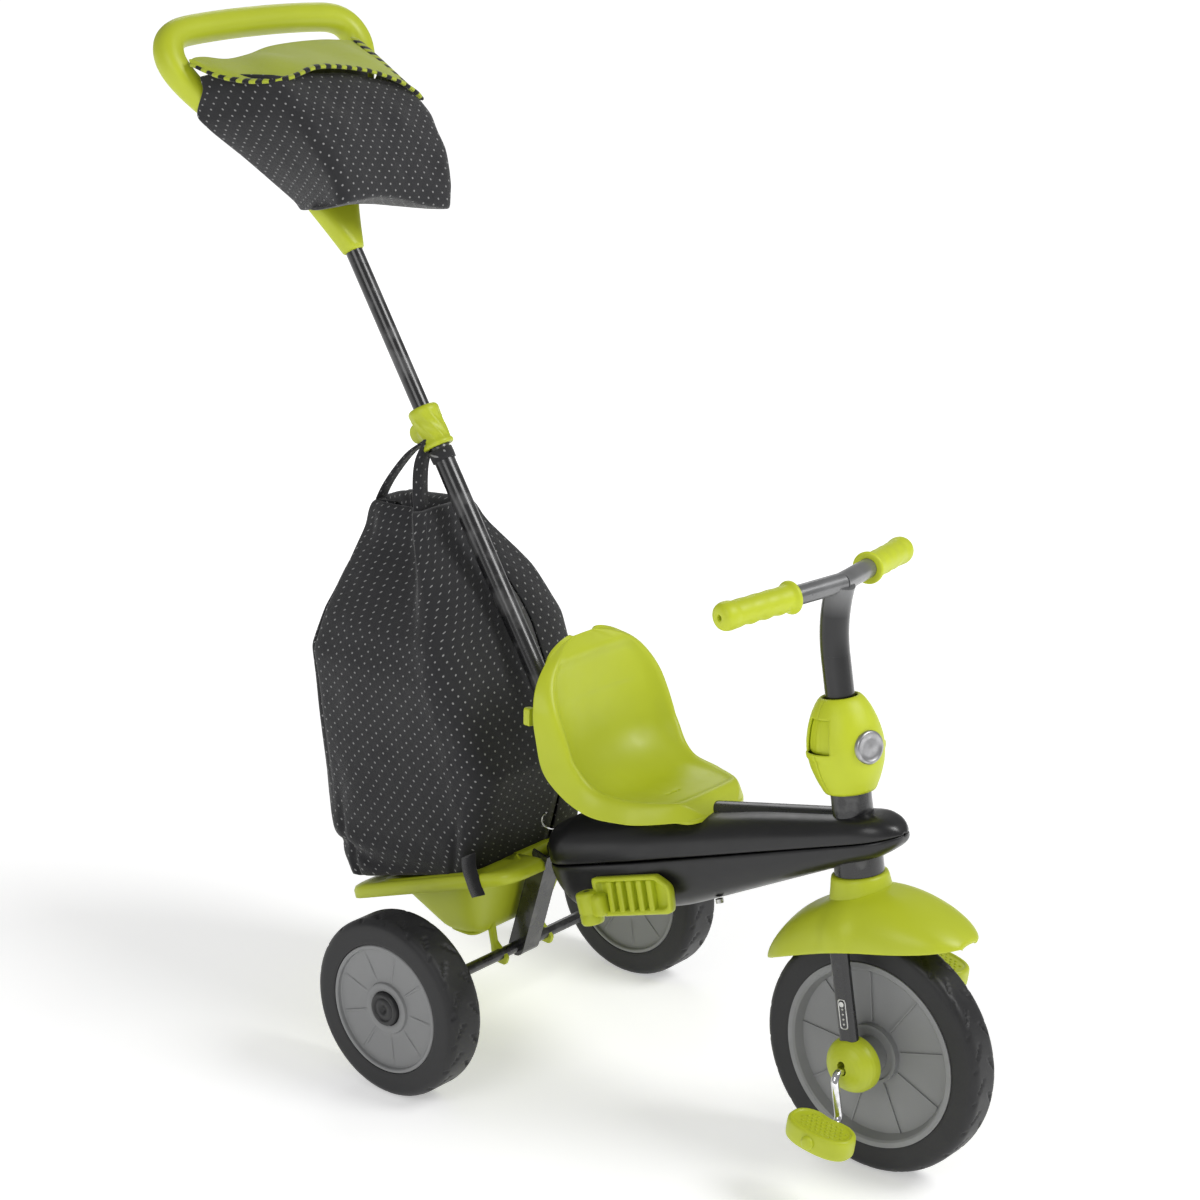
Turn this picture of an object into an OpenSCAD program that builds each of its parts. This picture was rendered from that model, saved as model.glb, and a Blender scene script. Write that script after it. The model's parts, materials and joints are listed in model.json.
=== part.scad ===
// Children's push-along tricycle with a telescopic parent handle.
// +X is forward, +Y is the rider's left and +Z is up. The origin is on the ground,
// under the middle of the object's outline.

/* [Wheels] */
// Distance from the ground point below the front axle to the origin
front_axle_x = 366; // [340:1:380]
// Diameter of the front wheel over its tyre
front_wheel_d = 240; // [230:1:250]
// Width of the front tyre
front_tyre_w = 39; // [34:1:42]
// Diameter of a rear wheel over its tyre
rear_wheel_d = 186; // [176:1:190]
// Width of a rear tyre
rear_tyre_w = 46; // [40:1:48]
// Distance between the front and the rear axle
wheelbase = 447; // [440:1:455]
// Distance between the middles of the rear tyres
rear_track = 385; // [370:1:395]

/* [Steering] */
// Lean of the steering axis from upright
rake = 11; // [10:0.5:12]
// Width of the handlebar over its grips
bar_span = 296; // [280:2:310]
// Turn of the headset cover round the steering axis
cover_turn = -16; // [-20:1:0]

/* [Body] */
// Rise of the body towards the front
body_pitch = 18.3; // [17:0.1:19]
// Width of the body at its widest
body_w = 96; // [90:1:100]
// Width of the seat
seat_w = 190; // [180:2:200]
// Length of one footrest from its hinge
footrest_l = 106; // [95:1:112]

/* [Push handle] */
// Lean of the pole from upright
pole_lean = 32.75; // [32:0.01:35]
// Outside diameter of the lower pole
lower_pole_d = 22; // [21:0.5:24]
// Outside diameter of the upper pole
upper_pole_d = 18; // [16:0.5:18.5]
// Half of the width of the push handle, to the middle of its bar
handle_half = 134; // [125:1:140]
// How far the upper pole pushes down into the lower one
pole_travel = 150; // [100:5:155]

/* [Hidden] */

$fn = 64;
lime = "yellowgreen";
black = "dimgray";
grey = "silver";
eps = 0.01;

front_r = front_wheel_d / 2;
rear_r = rear_wheel_d / 2;
rear_x = -wheelbase;
rear_y = rear_track / 2;

// Crank and front axle: one bent steel bar
crank_r = 4;
running_gap = 0.05;
crank_throw = 47;
crank_bend = 9;
arm_y = 76;
pedal_in = 86;
pedal_w = 42;
spindle_end = pedal_in + pedal_w + 2;

// Fork, in the steering frame, whose Z is the steering axis above the front axle
leg_y = 46;
leg_long = 20;
leg_thick = 11;
crown_z = 131;
steerer_r = 11;
steerer_top = 330;
cup_z = 177;
cup_h = 21;
cup_r = 24;
neck_r = 19.5;
head_bore_r = 15;
head_top = 288;
bar_z = 457;
bar_lead = 15.6;
bar_r = 9.5;
stem_r = 14;
stem_straight = 387;
sweep = 11.4;
bar_half = bar_span / 2 / cos(sweep) - 4;
grip_in = 62;
grip_r = 12.8;

// Headset cover: [height along the axis, radius] from the bottom to the top
cover_shape = [[257, 24.5], [262, 26.8], [275, 32.3], [289, 36], [303, 36.8], [317, 34.6],
               [330, 30.6], [342, 24.8], [349, 18.8]];
cover_wall = 2.5;
clutch_r = 27.5;
window_z = 300;
window_h = 36;

// Body frame: origin at the nose, X runs up along the body and Z is square to it
nose = [12, 0, 344];
body_l = 428;
body_wall = 3;

// Rear leg: leans forward from the rear axle
leg_lean = 15;
leg_w = 26;
leg_depth = 20;
leg_wall = 2.5;
leg_top = 118;
axle_r = 6;

// Pole frame: origin at the pole's foot, Z runs up the pole and X is square to it
pole_foot = [-342.5, 0, 250];
lower_pole_end = 446;
lower_pole_start = -16;
upper_pole_start = 330;
collar_z = 426;
socket_z = 645;
socket_top = 705;
bar_top_z = 909;
handle_r = 15;
arm_r = 12.5;

// Seat: a swept dish. Its middle line starts at the front lip and runs back
seat_lip = [-199, 325.5];
seat_pitch = 8;
seat_turn = 88;
seat_floor = 88;
seat_bend = 62;
seat_back = 92;
seat_t = 4;
bolt_fs = [-6, 34];
seat_nu = 26;
seat_nv = 14;
// Along the line: half-widths as shares of the widest, rises of the sides, depths of the rolled edge
seat_widths = [[0, 0.23], [3, 0.4], [10, 0.53], [20, 0.64], [40, 0.76], [60, 0.83], [88, 0.9],
               [120, 0.97], [150, 1], [200, 1], [225, 0.94], [245, 0.8], [258, 0.62], [268, 0.42],
               [275.3, 0.12]];
seat_rises = [[0, 1], [50, 3], [88, 9], [112, 24], [135, 37], [180, 43], [215, 28], [245, 14], [275, 4]];
seat_skirts = [[0, 8], [30, 15], [88, 24], [135, 51], [180, 57], [215, 39], [250, 22], [275, 9]];

// Basket frame: origin at the rear edge of its rim, X runs forward and up along it
basket_at = [-600, 0, 139];
basket_pitch = 20;
basket_half = 106;
basket_l = 246;

module placed() {
  translate([front_axle_x, 0, 0]) children();
}
module at_steer() {
  translate([0, 0, front_r]) rotate([0, -rake, 0]) children();
}
module at_body() {
  translate(nose) rotate([0, -body_pitch, 0]) children();
}
module at_pole() {
  translate(pole_foot) rotate([0, -pole_lean, 0]) children();
}
module at_basket() {
  translate(basket_at) rotate([0, -basket_pitch, 0]) children();
}
// Seat frame: origin at the rear end of the seat's floor
module at_seat() {
  translate([seat_line(seat_floor)[0], 0, seat_line(seat_floor)[1]]) rotate([0, -seat_pitch, 0]) children();
}
module at_leg() {
  translate([rear_x, 0, rear_r]) rotate([0, leg_lean, 0]) children();
}
module along_y(r, y0, y1) {
  translate([0, y0, 0]) rotate([-90, 0, 0]) cylinder(r = r, h = y1 - y0);
}
module to_left() {
  mirror([0, 1, 0]) children();
}
module box(lo, hi) {
  translate(lo) cube(hi - lo);
}

// ---- Frame ----

module backbone(r) {
  rotate([0, -90 - 12.9, 0]) cylinder(r = r, h = 300);
}
module main_frame() {
  color(black) placed() difference() {
    union() {
      at_steer() translate([0, 0, cup_z + cup_h]) cylinder(r = neck_r, h = head_top - cup_z - cup_h);
      translate([-46, 0, 341]) backbone(14);
      at_pole() translate([0, 0, -22]) cylinder(r = 14.5, h = 76);
      at_body() box([-424, -12, -14], [-372, 12, -2]);
      at_seat() box([-20, -13, -48], [48, 13, -16]);
    }
    at_steer() translate([0, 0, cup_z]) cylinder(r = head_bore_r, h = head_top);
    at_pole() translate([0, 0, lower_pole_start]) cylinder(r = lower_pole_d / 2 + running_gap, h = 90);
    translate([-64, 0, 336.9]) backbone(11);
    at_seat() for (f = bolt_fs) translate([f, 0, -52]) cylinder(r = 3.1, h = 52);
  }
}
module rear_leg() {
  color(black) placed() difference() {
    at_leg() union() {
      box([-leg_depth / 2, -leg_w / 2, 0], [leg_depth / 2, leg_w / 2, leg_top]);
      along_y(leg_depth / 2, -leg_w / 2, leg_w / 2);
    }
    at_leg() box([-leg_depth, -leg_w / 2 + leg_wall, -leg_depth],
                 [leg_depth / 2 - leg_wall, leg_w / 2 - leg_wall, leg_top + 1]);
    translate([rear_x, 0, rear_r]) along_y(axle_r + running_gap, -leg_w, leg_w);
  }
}
module rear_axle() {
  color(black) placed() translate([rear_x, 0, rear_r]) along_y(axle_r, -rear_y - 12, rear_y + 12);
}
module axle_washers() {
  color(grey) placed() for (side = [-1, 1])
    translate([rear_x, side * (rear_y - 28), rear_r]) difference() {
      along_y(11, -1, 1);
      along_y(axle_r + running_gap, -2, 2);
    }
}

// ---- Body shells ----

// Half-width of the body at a distance behind its nose
function half_body(s, inset) =
  s < 46 ? (29 - inset) * sqrt(max(0, 1 - pow((46 - s) / (46 - inset), 2)))
  : s < 300 ? 29 + (body_w / 2 - 29) * (s - 46) / 254 - inset
  : s < body_l - 46 ? body_w / 2 - inset
  : (body_w / 2 - inset) * sqrt(max(0, 1 - pow((s - body_l + 46) / (46 - inset), 2)));
function body_stations(inset) =
  concat([for (k = [0:6]) 46 - (46 - inset) * cos(15 * k)], [150, 300],
         [for (k = [0:6]) body_l - 46 + (46 - inset) * sin(15 * k)]);

module body_plan(inset) {
  s = body_stations(inset);
  n = len(s);
  polygon(concat([for (k = [0:n - 1]) [-s[k], half_body(s[k], inset)]],
                 [for (k = [n - 2:-1:1]) [-s[k], -half_body(s[k], inset)]]));
}
module body_side(i) {
  polygon([[-i, 0], [-10 - i, 13 - i], [-24, 21 - i], [-67, 23 - i], [-150, 31 - i],
           [-380, 42 - i], [-412 + i, 34 - i], [-body_l + i, 8], [-body_l + i, -4],
           [-392 + i, -52 + i], [-262, -54 + i], [-180, -40 + i], [-70, -22 + i],
           [-24, -16 + i], [-8 - i, -9 + i]]);
}
module body_solid(inset) {
  intersection() {
    rotate([90, 0, 0]) translate([0, 0, -body_w]) linear_extrude(2 * body_w) body_side(inset);
    translate([0, 0, -80]) linear_extrude(160) body_plan(inset);
  }
}
// Place of the lock knob along the body
knob_u = -418;
// Room for the head tube, the pole, the backbone, the leg and the lock knob
module frame_room() {
  at_steer() translate([0, 0, cup_z - 10]) cylinder(r = neck_r + 0.5, h = 150);
  at_steer() translate([0, 0, cup_z - 2]) cylinder(r = cup_r + 0.5, h = cup_h + 4);
  at_pole() translate([0, 0, -10]) cylinder(r = 15.5, h = 120);
  translate([-30, 0, 344.7]) backbone(14.6);
  translate([-64, 0, 336.9]) backbone(14.6);
  at_body() translate([knob_u, 0, 4]) cylinder(r = 10.8, h = 60);
  at_body() box([-body_l - 10, -leg_w / 2 - 2, -70], [-396, leg_w / 2 + 2, 16]);
  at_seat() box([-20.5, -13.5, -70], [48.5, 13.5, -15.5]);
}
module body_half(lo, hi) {
  color(black) placed() difference() {
    at_body() intersection() {
      difference() {
        body_solid(0);
        body_solid(body_wall);
      }
      box([-body_l - 5, -body_w, lo], [5, body_w, hi]);
    }
    frame_room();
  }
}
// Raised block under the seat, hollow from below
module seat_pedestal() {
  at_seat() difference() {
    box([-30, -30, -44], [76, 30, -seat_t - 0.3]);
    box([-27, -27, -50], [73, 27, -seat_t - 3.3]);
    for (f = bolt_fs) translate([f, 0, -20]) cylinder(r = 3.1, h = 20);
  }
}
module body_upper_shell() {
  body_half(0.2, 60);
  color(black) placed() difference() {
    intersection() {
      seat_pedestal();
      at_body() box([-body_l, -body_w, 26], [0, body_w, 70]);
    }
    frame_room();
  }
}
module footrest_lug() {
  difference() {
    union() {
      translate([-352, -62, -43.6]) cylinder(r = 8, h = 7.2);
      box([-360, -62, -43.6], [-344, -46, -36.4]);
    }
    translate([-352, -62, -60]) cylinder(r = 3, h = 40);
  }
}
module body_lower_shell() {
  body_half(-70, -0.2);
  color(black) placed() at_body() {
    footrest_lug();
    to_left() footrest_lug();
  }
}
module body_screws() {
  color(grey) placed() at_body() for (u = [-215, -330], side = [-1, 1])
    translate([u, side * 26, u == -215 ? -51.5 : -56.6]) cylinder(r = 4, h = 4.2);
}

// ---- Seat ----

seat_arc = seat_bend * seat_turn * PI / 180;
seat_path = seat_floor + seat_arc + seat_back;
// A point on the middle line of the seat, as [x, z, angle of the surface]
function seat_line(s) =
  let (floor_l = min(s, seat_floor), back_l = max(0, s - seat_floor - seat_arc),
       turn = seat_turn * min(1, max(0, (s - seat_floor) / seat_arc)), a = turn - seat_pitch)
    [seat_lip[0] - floor_l * cos(seat_pitch) - seat_bend * (sin(a) + sin(seat_pitch)) - back_l * cos(a),
     seat_lip[1] - floor_l * sin(seat_pitch) + seat_bend * (cos(seat_pitch) - cos(a)) + back_l * sin(a),
     a];
// Height of the surface over the middle line: raised sides with a rolled-down edge
function seat_height(s, v) =
  let (edge = min(1, s / 12, (seat_path - s) / 12, (1 - abs(v)) / 0.13))
    lookup(s, seat_rises) * pow(abs(v), 2.6) - lookup(s, seat_skirts) * abs(v) * pow(1 - edge, 1.3);
function seat_point(s, v, depth) =
  let (m = seat_line(s), h = seat_height(s, v) - depth)
    [m[0] + h * sin(m[2]), (seat_w / 2 - depth * 0.7) * lookup(s, seat_widths) * v, m[1] + h * cos(m[2])];
function grid_faces(nu, nv, first, flip) =
  [for (i = [0:nu - 2], j = [0:nv - 2])
    let (a = first + i * nv + j, b = a + 1, c = a + nv + 1, d = a + nv)
      flip ? [d, c, b, a] : [a, b, c, d]];
module seat() {
  n = seat_nu * seat_nv;
  s = [for (i = [0:seat_nu - 1]) seat_path * (0.5 - 0.5 * cos(180 * i / (seat_nu - 1)))];
  v = [for (j = [0:seat_nv - 1]) -cos(180 * j / (seat_nv - 1))];
  top = [for (i = [0:seat_nu - 1], j = [0:seat_nv - 1]) seat_point(s[i], v[j], 0)];
  low = [for (i = [0:seat_nu - 1], j = [0:seat_nv - 1]) seat_point(s[i], v[j], seat_t)];
  rim = concat([for (j = [0:seat_nv - 1]) j],
               [for (i = [1:seat_nu - 1]) i * seat_nv + seat_nv - 1],
               [for (j = [seat_nv - 2:-1:0]) (seat_nu - 1) * seat_nv + j],
               [for (i = [seat_nu - 2:-1:1]) i * seat_nv]);
  m = len(rim);
  sides = [for (k = [0:m - 1]) [rim[k], rim[(k + 1) % m], rim[(k + 1) % m] + n, rim[k] + n]];
  color(lime) placed() {
    polyhedron(points = concat(top, low),
               faces = concat(grid_faces(seat_nu, seat_nv, 0, true),
                              grid_faces(seat_nu, seat_nv, n, false), sides), convexity = 6);
  }
}
module seat_bolts() {
  color(grey) placed() at_seat() for (f = bolt_fs)
    translate([f, 0, -52]) cylinder(r = 3, h = 52 - seat_t - 0.3);
}

// ---- Headset ----

module cover_solid(inset) {
  rotate_extrude() polygon(concat([[0, cover_shape[0][0]]],
    [for (p = cover_shape) [p[1] - inset, p[0]]], [[0, cover_shape[8][0]]]));
}
module cover_shell() {
  difference() {
    cover_solid(0);
    cover_solid(cover_wall);
    for (a = [0, 180]) rotate([0, 0, a]) box([-18, -50, window_z], [18, 0, window_z + window_h - 4]);
  }
}
module cover_half(turn) {
  color(lime) placed() at_steer() rotate([0, 0, cover_turn]) difference() {
    cover_shell();
    rotate([0, 0, turn]) box([-60, -60, 200], [0.1, 60, 400]);
    if (turn == 0) translate([33, 0, 303]) rotate([0, 90, 0]) cylinder(r = 16.6, h = 20);
  }
}
module headset_cover_front() {
  cover_half(0);
}
module headset_cover_rear() {
  cover_half(180);
}
module headset_badge() {
  color(grey) placed() at_steer() rotate([0, 0, cover_turn])
    translate([33.4, 0, 303]) rotate([0, 90, 0]) cylinder(r = 16, h = 3.6);
}
module clutch_ring() {
  color(lime) placed() at_steer() rotate([0, 0, cover_turn]) difference() {
    union() {
      translate([0, 0, window_z + 1]) cylinder(r = clutch_r, h = window_h - 12);
      for (a = [5:30:335]) rotate([0, 0, a]) translate([clutch_r - 1.2, 0, window_z + 2.5])
        cylinder(r = 2.5, h = window_h - 15);
    }
    translate([0, 0, window_z]) cylinder(r = stem_r + 0.3, h = window_h);
  }
}
module upper_headset_bush() {
  color(black) placed() at_steer() difference() {
    union() {
      translate([0, 0, 266]) cylinder(r = head_bore_r, h = 22);
      translate([0, 0, 288]) cylinder(r = neck_r, h = 3);
    }
    translate([0, 0, 260]) cylinder(r = steerer_r + running_gap, h = 40);
  }
}
module lower_headset_cup() {
  color(black) placed() at_steer() difference() {
    translate([0, 0, cup_z]) cylinder(r = cup_r, h = cup_h - 0.2);
    translate([0, 0, cup_z - 1]) cylinder(r = steerer_r + running_gap, h = cup_h + 2);
  }
}

// ---- Handlebar ----

module at_bar() {
  translate([bar_lead, 0, bar_z]) rotate([0, 0, sweep]) children();
}
module handlebar() {
  lean = 25;
  bend_r = 165;
  color(black) placed() at_steer() difference() {
    union() {
      translate([0, 0, 304]) cylinder(r = stem_r, h = stem_straight - 303);
      translate([bend_r, 0, stem_straight]) rotate([90, 0, 180])
        rotate_extrude(angle = lean) translate([bend_r, 0]) circle(r = stem_r - 0.1);
      at_bar() along_y(bar_r, -1, bar_half);
      to_left() at_bar() along_y(bar_r, -1, bar_half);
    }
    translate([0, 0, 300]) cylinder(r = steerer_r + 0.4, h = steerer_top - 299);
  }
}
module grip_solid() {
  at_bar() difference() {
    union() {
      along_y(16, grip_in, grip_in + 5);
      along_y(grip_r, grip_in + 4, bar_half + 1);
      along_y(13.8, bar_half - 6, bar_half + 4);
    }
    along_y(bar_r + 0.01, 0, bar_half + 0.1);
    along_y(2.5, 80, bar_half + 10);
  }
}
module left_grip() {
  color(lime) placed() at_steer() grip_solid();
}
module right_grip() {
  color(lime) placed() at_steer() to_left() grip_solid();
}

// ---- Fork ----

module leg_outline(grow) {
  side = leg_long / 2 - leg_thick / 2;
  for (x = [-side, side]) translate([x, 0]) circle(r = leg_thick / 2 + grow);
  square([2 * side, leg_thick + 2 * grow], center = true);
}
module fork() {
  color(black) placed() at_steer() difference() {
    union() {
      for (side = [-1, 1]) translate([0, side * leg_y, -11]) linear_extrude(crown_z + 11) leg_outline(0);
      box([-leg_long / 2, -leg_y - leg_thick / 2, crown_z - 4], [leg_long / 2, leg_y + leg_thick / 2, crown_z + 5]);
      translate([0, 0, crown_z]) cylinder(r = steerer_r, h = steerer_top - crown_z);
    }
    translate([0, 0, crown_z + 12]) cylinder(r = steerer_r - 2.5, h = steerer_top);
    along_y(crank_r + running_gap, -60, 60);
    for (side = [-1, 1]) translate([0, side * leg_y, 62]) along_y(1.6, -20, 20);
  }
}
module fork_rivets() {
  color(grey) placed() at_steer() for (side = [-1, 1]) translate([0, side * leg_y, 62]) {
    along_y(1.6, -leg_thick / 2, leg_thick / 2);
    translate([0, side * (leg_thick / 2 + 0.5), 0]) along_y(2.6, -0.5, 0.5);
  }
}
// Outline of the fender's lower edge and crest, as a dome about the fork crown
fender_rear = -108;
fender_front = 115;
fender_half = 53;
fender_nu = 24;
fender_nv = 13;
function fender_mid(q) = fender_rear + (fender_front - fender_rear) * q;
function fender_edge(q) = 84 + 30 * pow(sin(90 * min(1, q * 1.5)), 0.8) + 2 * q;
function fender_crest(q) = 84 + 32 * q + 62 * pow(sin(180 * pow(q, 0.92)), 0.75);
function fender_width(q) = (fender_half - 5) * pow(max(0, 1 - pow(abs(2 * q - 1), 2.4)), 0.5) + 5;
function fender_point(q, a, inset) =
  [fender_mid(q), (fender_width(q) - inset * min(1, fender_width(q) / 12)) * cos(a),
   fender_edge(q) + max(2, fender_crest(q) - fender_edge(q) - inset) * sin(a)];
module fender_solid(inset, drop) {
  nu = fender_nu;
  nv = fender_nv;
  q = [for (i = [0:nu - 1]) 0.5 - 0.5 * cos(180 * i / (nu - 1))];
  shrink = inset / (fender_front - fender_rear);
  pts = [for (i = [0:nu - 1], j = [0:nv]) j < nv ?
         fender_point(shrink + (1 - 2 * shrink) * q[i], 180 * j / (nv - 1), inset) :
         let (p = fender_point(shrink + (1 - 2 * shrink) * q[i], 0, inset)) [p[0], 0, p[2] - drop]];
  rows = nv + 1;
  skin = [for (i = [0:nu - 2], j = [0:nv])
    let (k = (j + 1) % rows) [i * rows + k, i * rows + j, (i + 1) * rows + j, (i + 1) * rows + k]];
  ends = [[for (j = [0:rows - 1]) j], [for (j = [rows - 1:-1:0]) (nu - 1) * rows + j]];
  polyhedron(points = pts, faces = concat(skin, ends), convexity = 6);
}
module front_fender() {
  color(lime) placed() at_steer() difference() {
    union() {
      fender_solid(0, 1);
      translate([0, 0, 138]) cylinder(r1 = 34, r2 = 25, h = cup_z - 0.6 - 138);
      for (side = [-1, 1]) translate([0, side * leg_y, 97]) linear_extrude(45) leg_outline(3.4);
    }
    fender_solid(3, 12);
    translate([0, 0, 100]) cylinder(r1 = 34, r2 = 22, h = cup_z - 3.6 - 100);
    translate([0, 0, 150]) cylinder(r = steerer_r + 0.4, h = 40);
    for (side = [-1, 1]) translate([0, side * leg_y, 90]) linear_extrude(49) leg_outline(0.6);
    box([-leg_long / 2 - 0.6, -leg_y, crown_z - 10], [leg_long / 2 + 0.6, leg_y, crown_z + 8]);
  }
}
module hub_cover_solid() {
  difference() {
    rotate([90, 0, 0]) rotate_extrude()
      polygon(concat([[0, 39.6], [28, 39.6]],
                     [for (a = [0:10:90]) [28 * cos(a), 43 + 21.5 * sin(a)]]));
    translate([0, -leg_y, -11.3]) linear_extrude(60) leg_outline(0.3);
    along_y(crank_r + 1, -80, 0);
    translate([0, 0, 5]) along_y(4.2, -80, -leg_y);
  }
}
module right_hub_cover() {
  color(lime) placed() at_steer() hub_cover_solid();
}
module left_hub_cover() {
  color(lime) placed() at_steer() to_left() hub_cover_solid();
}

// ---- Front wheel, crank and pedals ----

// A tyre's section, [radius, distance from the wheel's middle], with rounded shoulders
module tyre(r, w, seat_r, flange_r) {
  round = 9;
  bead = w / 2 - 6;
  rotate([90, 0, 0]) rotate_extrude($fn = 96) polygon(concat(
    [[seat_r, -bead], [flange_r, -bead], [flange_r, -w / 2]],
    [for (a = [-90:15:0]) [r - round + round * cos(a), -w / 2 + round + round * sin(a)]],
    [for (a = [0:15:90]) [r - round + round * cos(a), w / 2 - round + round * sin(a)]],
    [[flange_r, w / 2], [flange_r, bead], [seat_r, bead]]));
}
module front_tyre() {
  color("black") placed() translate([0, 0, front_r]) tyre(front_r, front_tyre_w, 84, 93.2);
}
// One half of a moulded rim: flange, dished web with ribs, and hub. Its outer face is at -Y
module rim_half(flange_r, w, barrel_r, web, hub_r, hub_w, bore, ribs) {
  edge = w / 2 + 0.6;
  bead = w / 2 - 6.2;
  rotate([90, 0, 0]) {
    rotate_extrude($fn = 96) polygon([
      [bore, 0.1], [bore, hub_w], [hub_r - 11, hub_w], [hub_r - 11, web + 5], [hub_r - 3, web + 5],
      [hub_r - 3, web + 7], [hub_r, web + 7], [hub_r, web], [barrel_r - 2, web],
      [flange_r - 7, edge - 1.4], [flange_r - 5, edge], [flange_r, edge], [flange_r, bead],
      [barrel_r, bead], [barrel_r, 0.1], [barrel_r - 3, 0.1], [barrel_r - 5, web - 3],
      [hub_r - 3, web - 3], [hub_r - 5, 0.1]]);
    for (k = [0:ribs - 1]) rotate([0, 0, 360 / ribs * (k + 0.4)])
      translate([(hub_r + barrel_r) / 2, 0, web]) cube([barrel_r - hub_r - 4, 1.6, 3], center = true);
  }
}
module front_rim() {
  rim_half(93, front_tyre_w, 83.9, 10, 29.5, 37.5, crank_r + running_gap, 9);
}
module right_front_rim() {
  color(grey) placed() translate([0, 0, front_r]) front_rim();
}
module left_front_rim() {
  color(grey) placed() translate([0, 0, front_r]) to_left() front_rim();
}
// One arm of the crank: the axle's end, two bends and the pedal spindle
module crank_arm() {
  b = crank_bend;
  along_y(crank_r, -eps, arm_y - b);
  translate([0, arm_y - b, -b]) rotate([90, 0, 90]) rotate_extrude(angle = 90) translate([b, 0]) circle(r = crank_r);
  translate([0, arm_y, -crank_throw + b]) cylinder(r = crank_r, h = crank_throw - 2 * b);
  translate([0, arm_y + b, -crank_throw + b]) rotate([90, 0, 90]) rotate([0, 0, 180])
    rotate_extrude(angle = 90) translate([b, 0]) circle(r = crank_r);
  translate([0, 0, -crank_throw]) along_y(crank_r, arm_y + b - eps, spindle_end);
}
module pedal_crank() {
  color(grey) placed() at_steer() {
    rotate([0, 0, 180]) crank_arm();
    rotate([180, 0, 180]) crank_arm();
  }
}
module pedal(tilt) {
  rotate([0, tilt, 0]) difference() {
    translate([0, 0, -11]) linear_extrude(22) {
      translate([-14, pedal_in + 19]) circle(r = 18);
      translate([14, pedal_in + 19]) circle(r = 18);
      translate([-14, pedal_in + 1]) square([28, 36]);
      translate([-20, pedal_in + 25]) circle(r = 14);
      translate([20, pedal_in + 25]) circle(r = 14);
      translate([-20, pedal_in + 20]) square([40, 19]);
    }
    along_y(crank_r + running_gap, pedal_in - 5, spindle_end + 0.5);
  }
}
module right_pedal() {
  color(lime) placed() at_steer() translate([0, 0, -crank_throw]) to_left() pedal(18);
}
module left_pedal() {
  color(lime) placed() at_steer() translate([0, 0, crank_throw]) pedal(18);
}

// ---- Rear wheels ----

module at_rear_wheel(side) {
  translate([rear_x, side * rear_y, rear_r]) children();
}
module rear_tyre(side) {
  color("black") placed() at_rear_wheel(side) tyre(rear_r, rear_tyre_w, 58, 67.2);
}
module rear_rim() {
  difference() {
    rim_half(67, rear_tyre_w, 57.9, 13, 21, 20, axle_r + running_gap, 9);
    along_y(17.4, -30, -15);
  }
}
module rear_rim_inner() {
  rim_half(67, rear_tyre_w, 57.9, 13, 21, 24, axle_r + running_gap, 9);
}
module right_rear_tyre() {
  rear_tyre(-1);
}
module left_rear_tyre() {
  rear_tyre(1);
}
module right_rear_rim_outer() {
  color(grey) placed() at_rear_wheel(-1) rear_rim();
}
module left_rear_rim_outer() {
  color(grey) placed() at_rear_wheel(1) to_left() rear_rim();
}
module right_rear_rim_inner() {
  color(grey) placed() at_rear_wheel(-1) to_left() rear_rim_inner();
}
module left_rear_rim_inner() {
  color(grey) placed() at_rear_wheel(1) rear_rim_inner();
}
module hub_cap() {
  difference() {
    along_y(17, -23.5, -15.2);
    along_y(axle_r + 1, -16, -12);
    along_y(3, -24, -22.5);
  }
}
module right_hub_cap() {
  color(black) placed() at_rear_wheel(-1) hub_cap();
}
module left_hub_cap() {
  color(black) placed() at_rear_wheel(1) to_left() hub_cap();
}

// ---- Footrests ----

module footrest() {
  difference() {
    union() {
      box([-348, -60, -52], [-352 + footrest_l, -50.5, -12]);
      translate([-352, -62, -58]) cylinder(r = 11, h = 34);
      box([-352, -70, -52], [-332, -51.5, -26]);
    }
    for (k = [0:3]) translate([-322 + 12 * k, 0, 0]) box([0, -70, -42], [7, -55, -24]);
    box([-370, -62, -44], [-352, -40, -36]);
    box([-370, -80, -44], [-352, -61, -36]);
    box([-353, -62, -44], [-341, -40, -36]);
    translate([-352, -62, -44]) cylinder(r = 8.6, h = 8);
    translate([-352, -62, -62]) cylinder(r = 3 + running_gap, h = 44);
  }
}
module right_footrest() {
  color(lime) placed() at_body() footrest();
}
module left_footrest() {
  color(lime) placed() at_body() to_left() footrest();
}
module footrest_pins() {
  color(grey) placed() at_body() for (side = [-1, 1])
    translate([-352, side * 62, -57.5]) cylinder(r = 3, h = 33);
}

// ---- Basket ----

module tub(g) {
  hull() {
    at_basket() box([52 + g, -92 + g, -1], [168 - g, 92 - g, 0]);
    box([-500 + g, -66 + g, 116 + g], [-460 - g, 66 - g, 117 + g]);
  }
}
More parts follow.
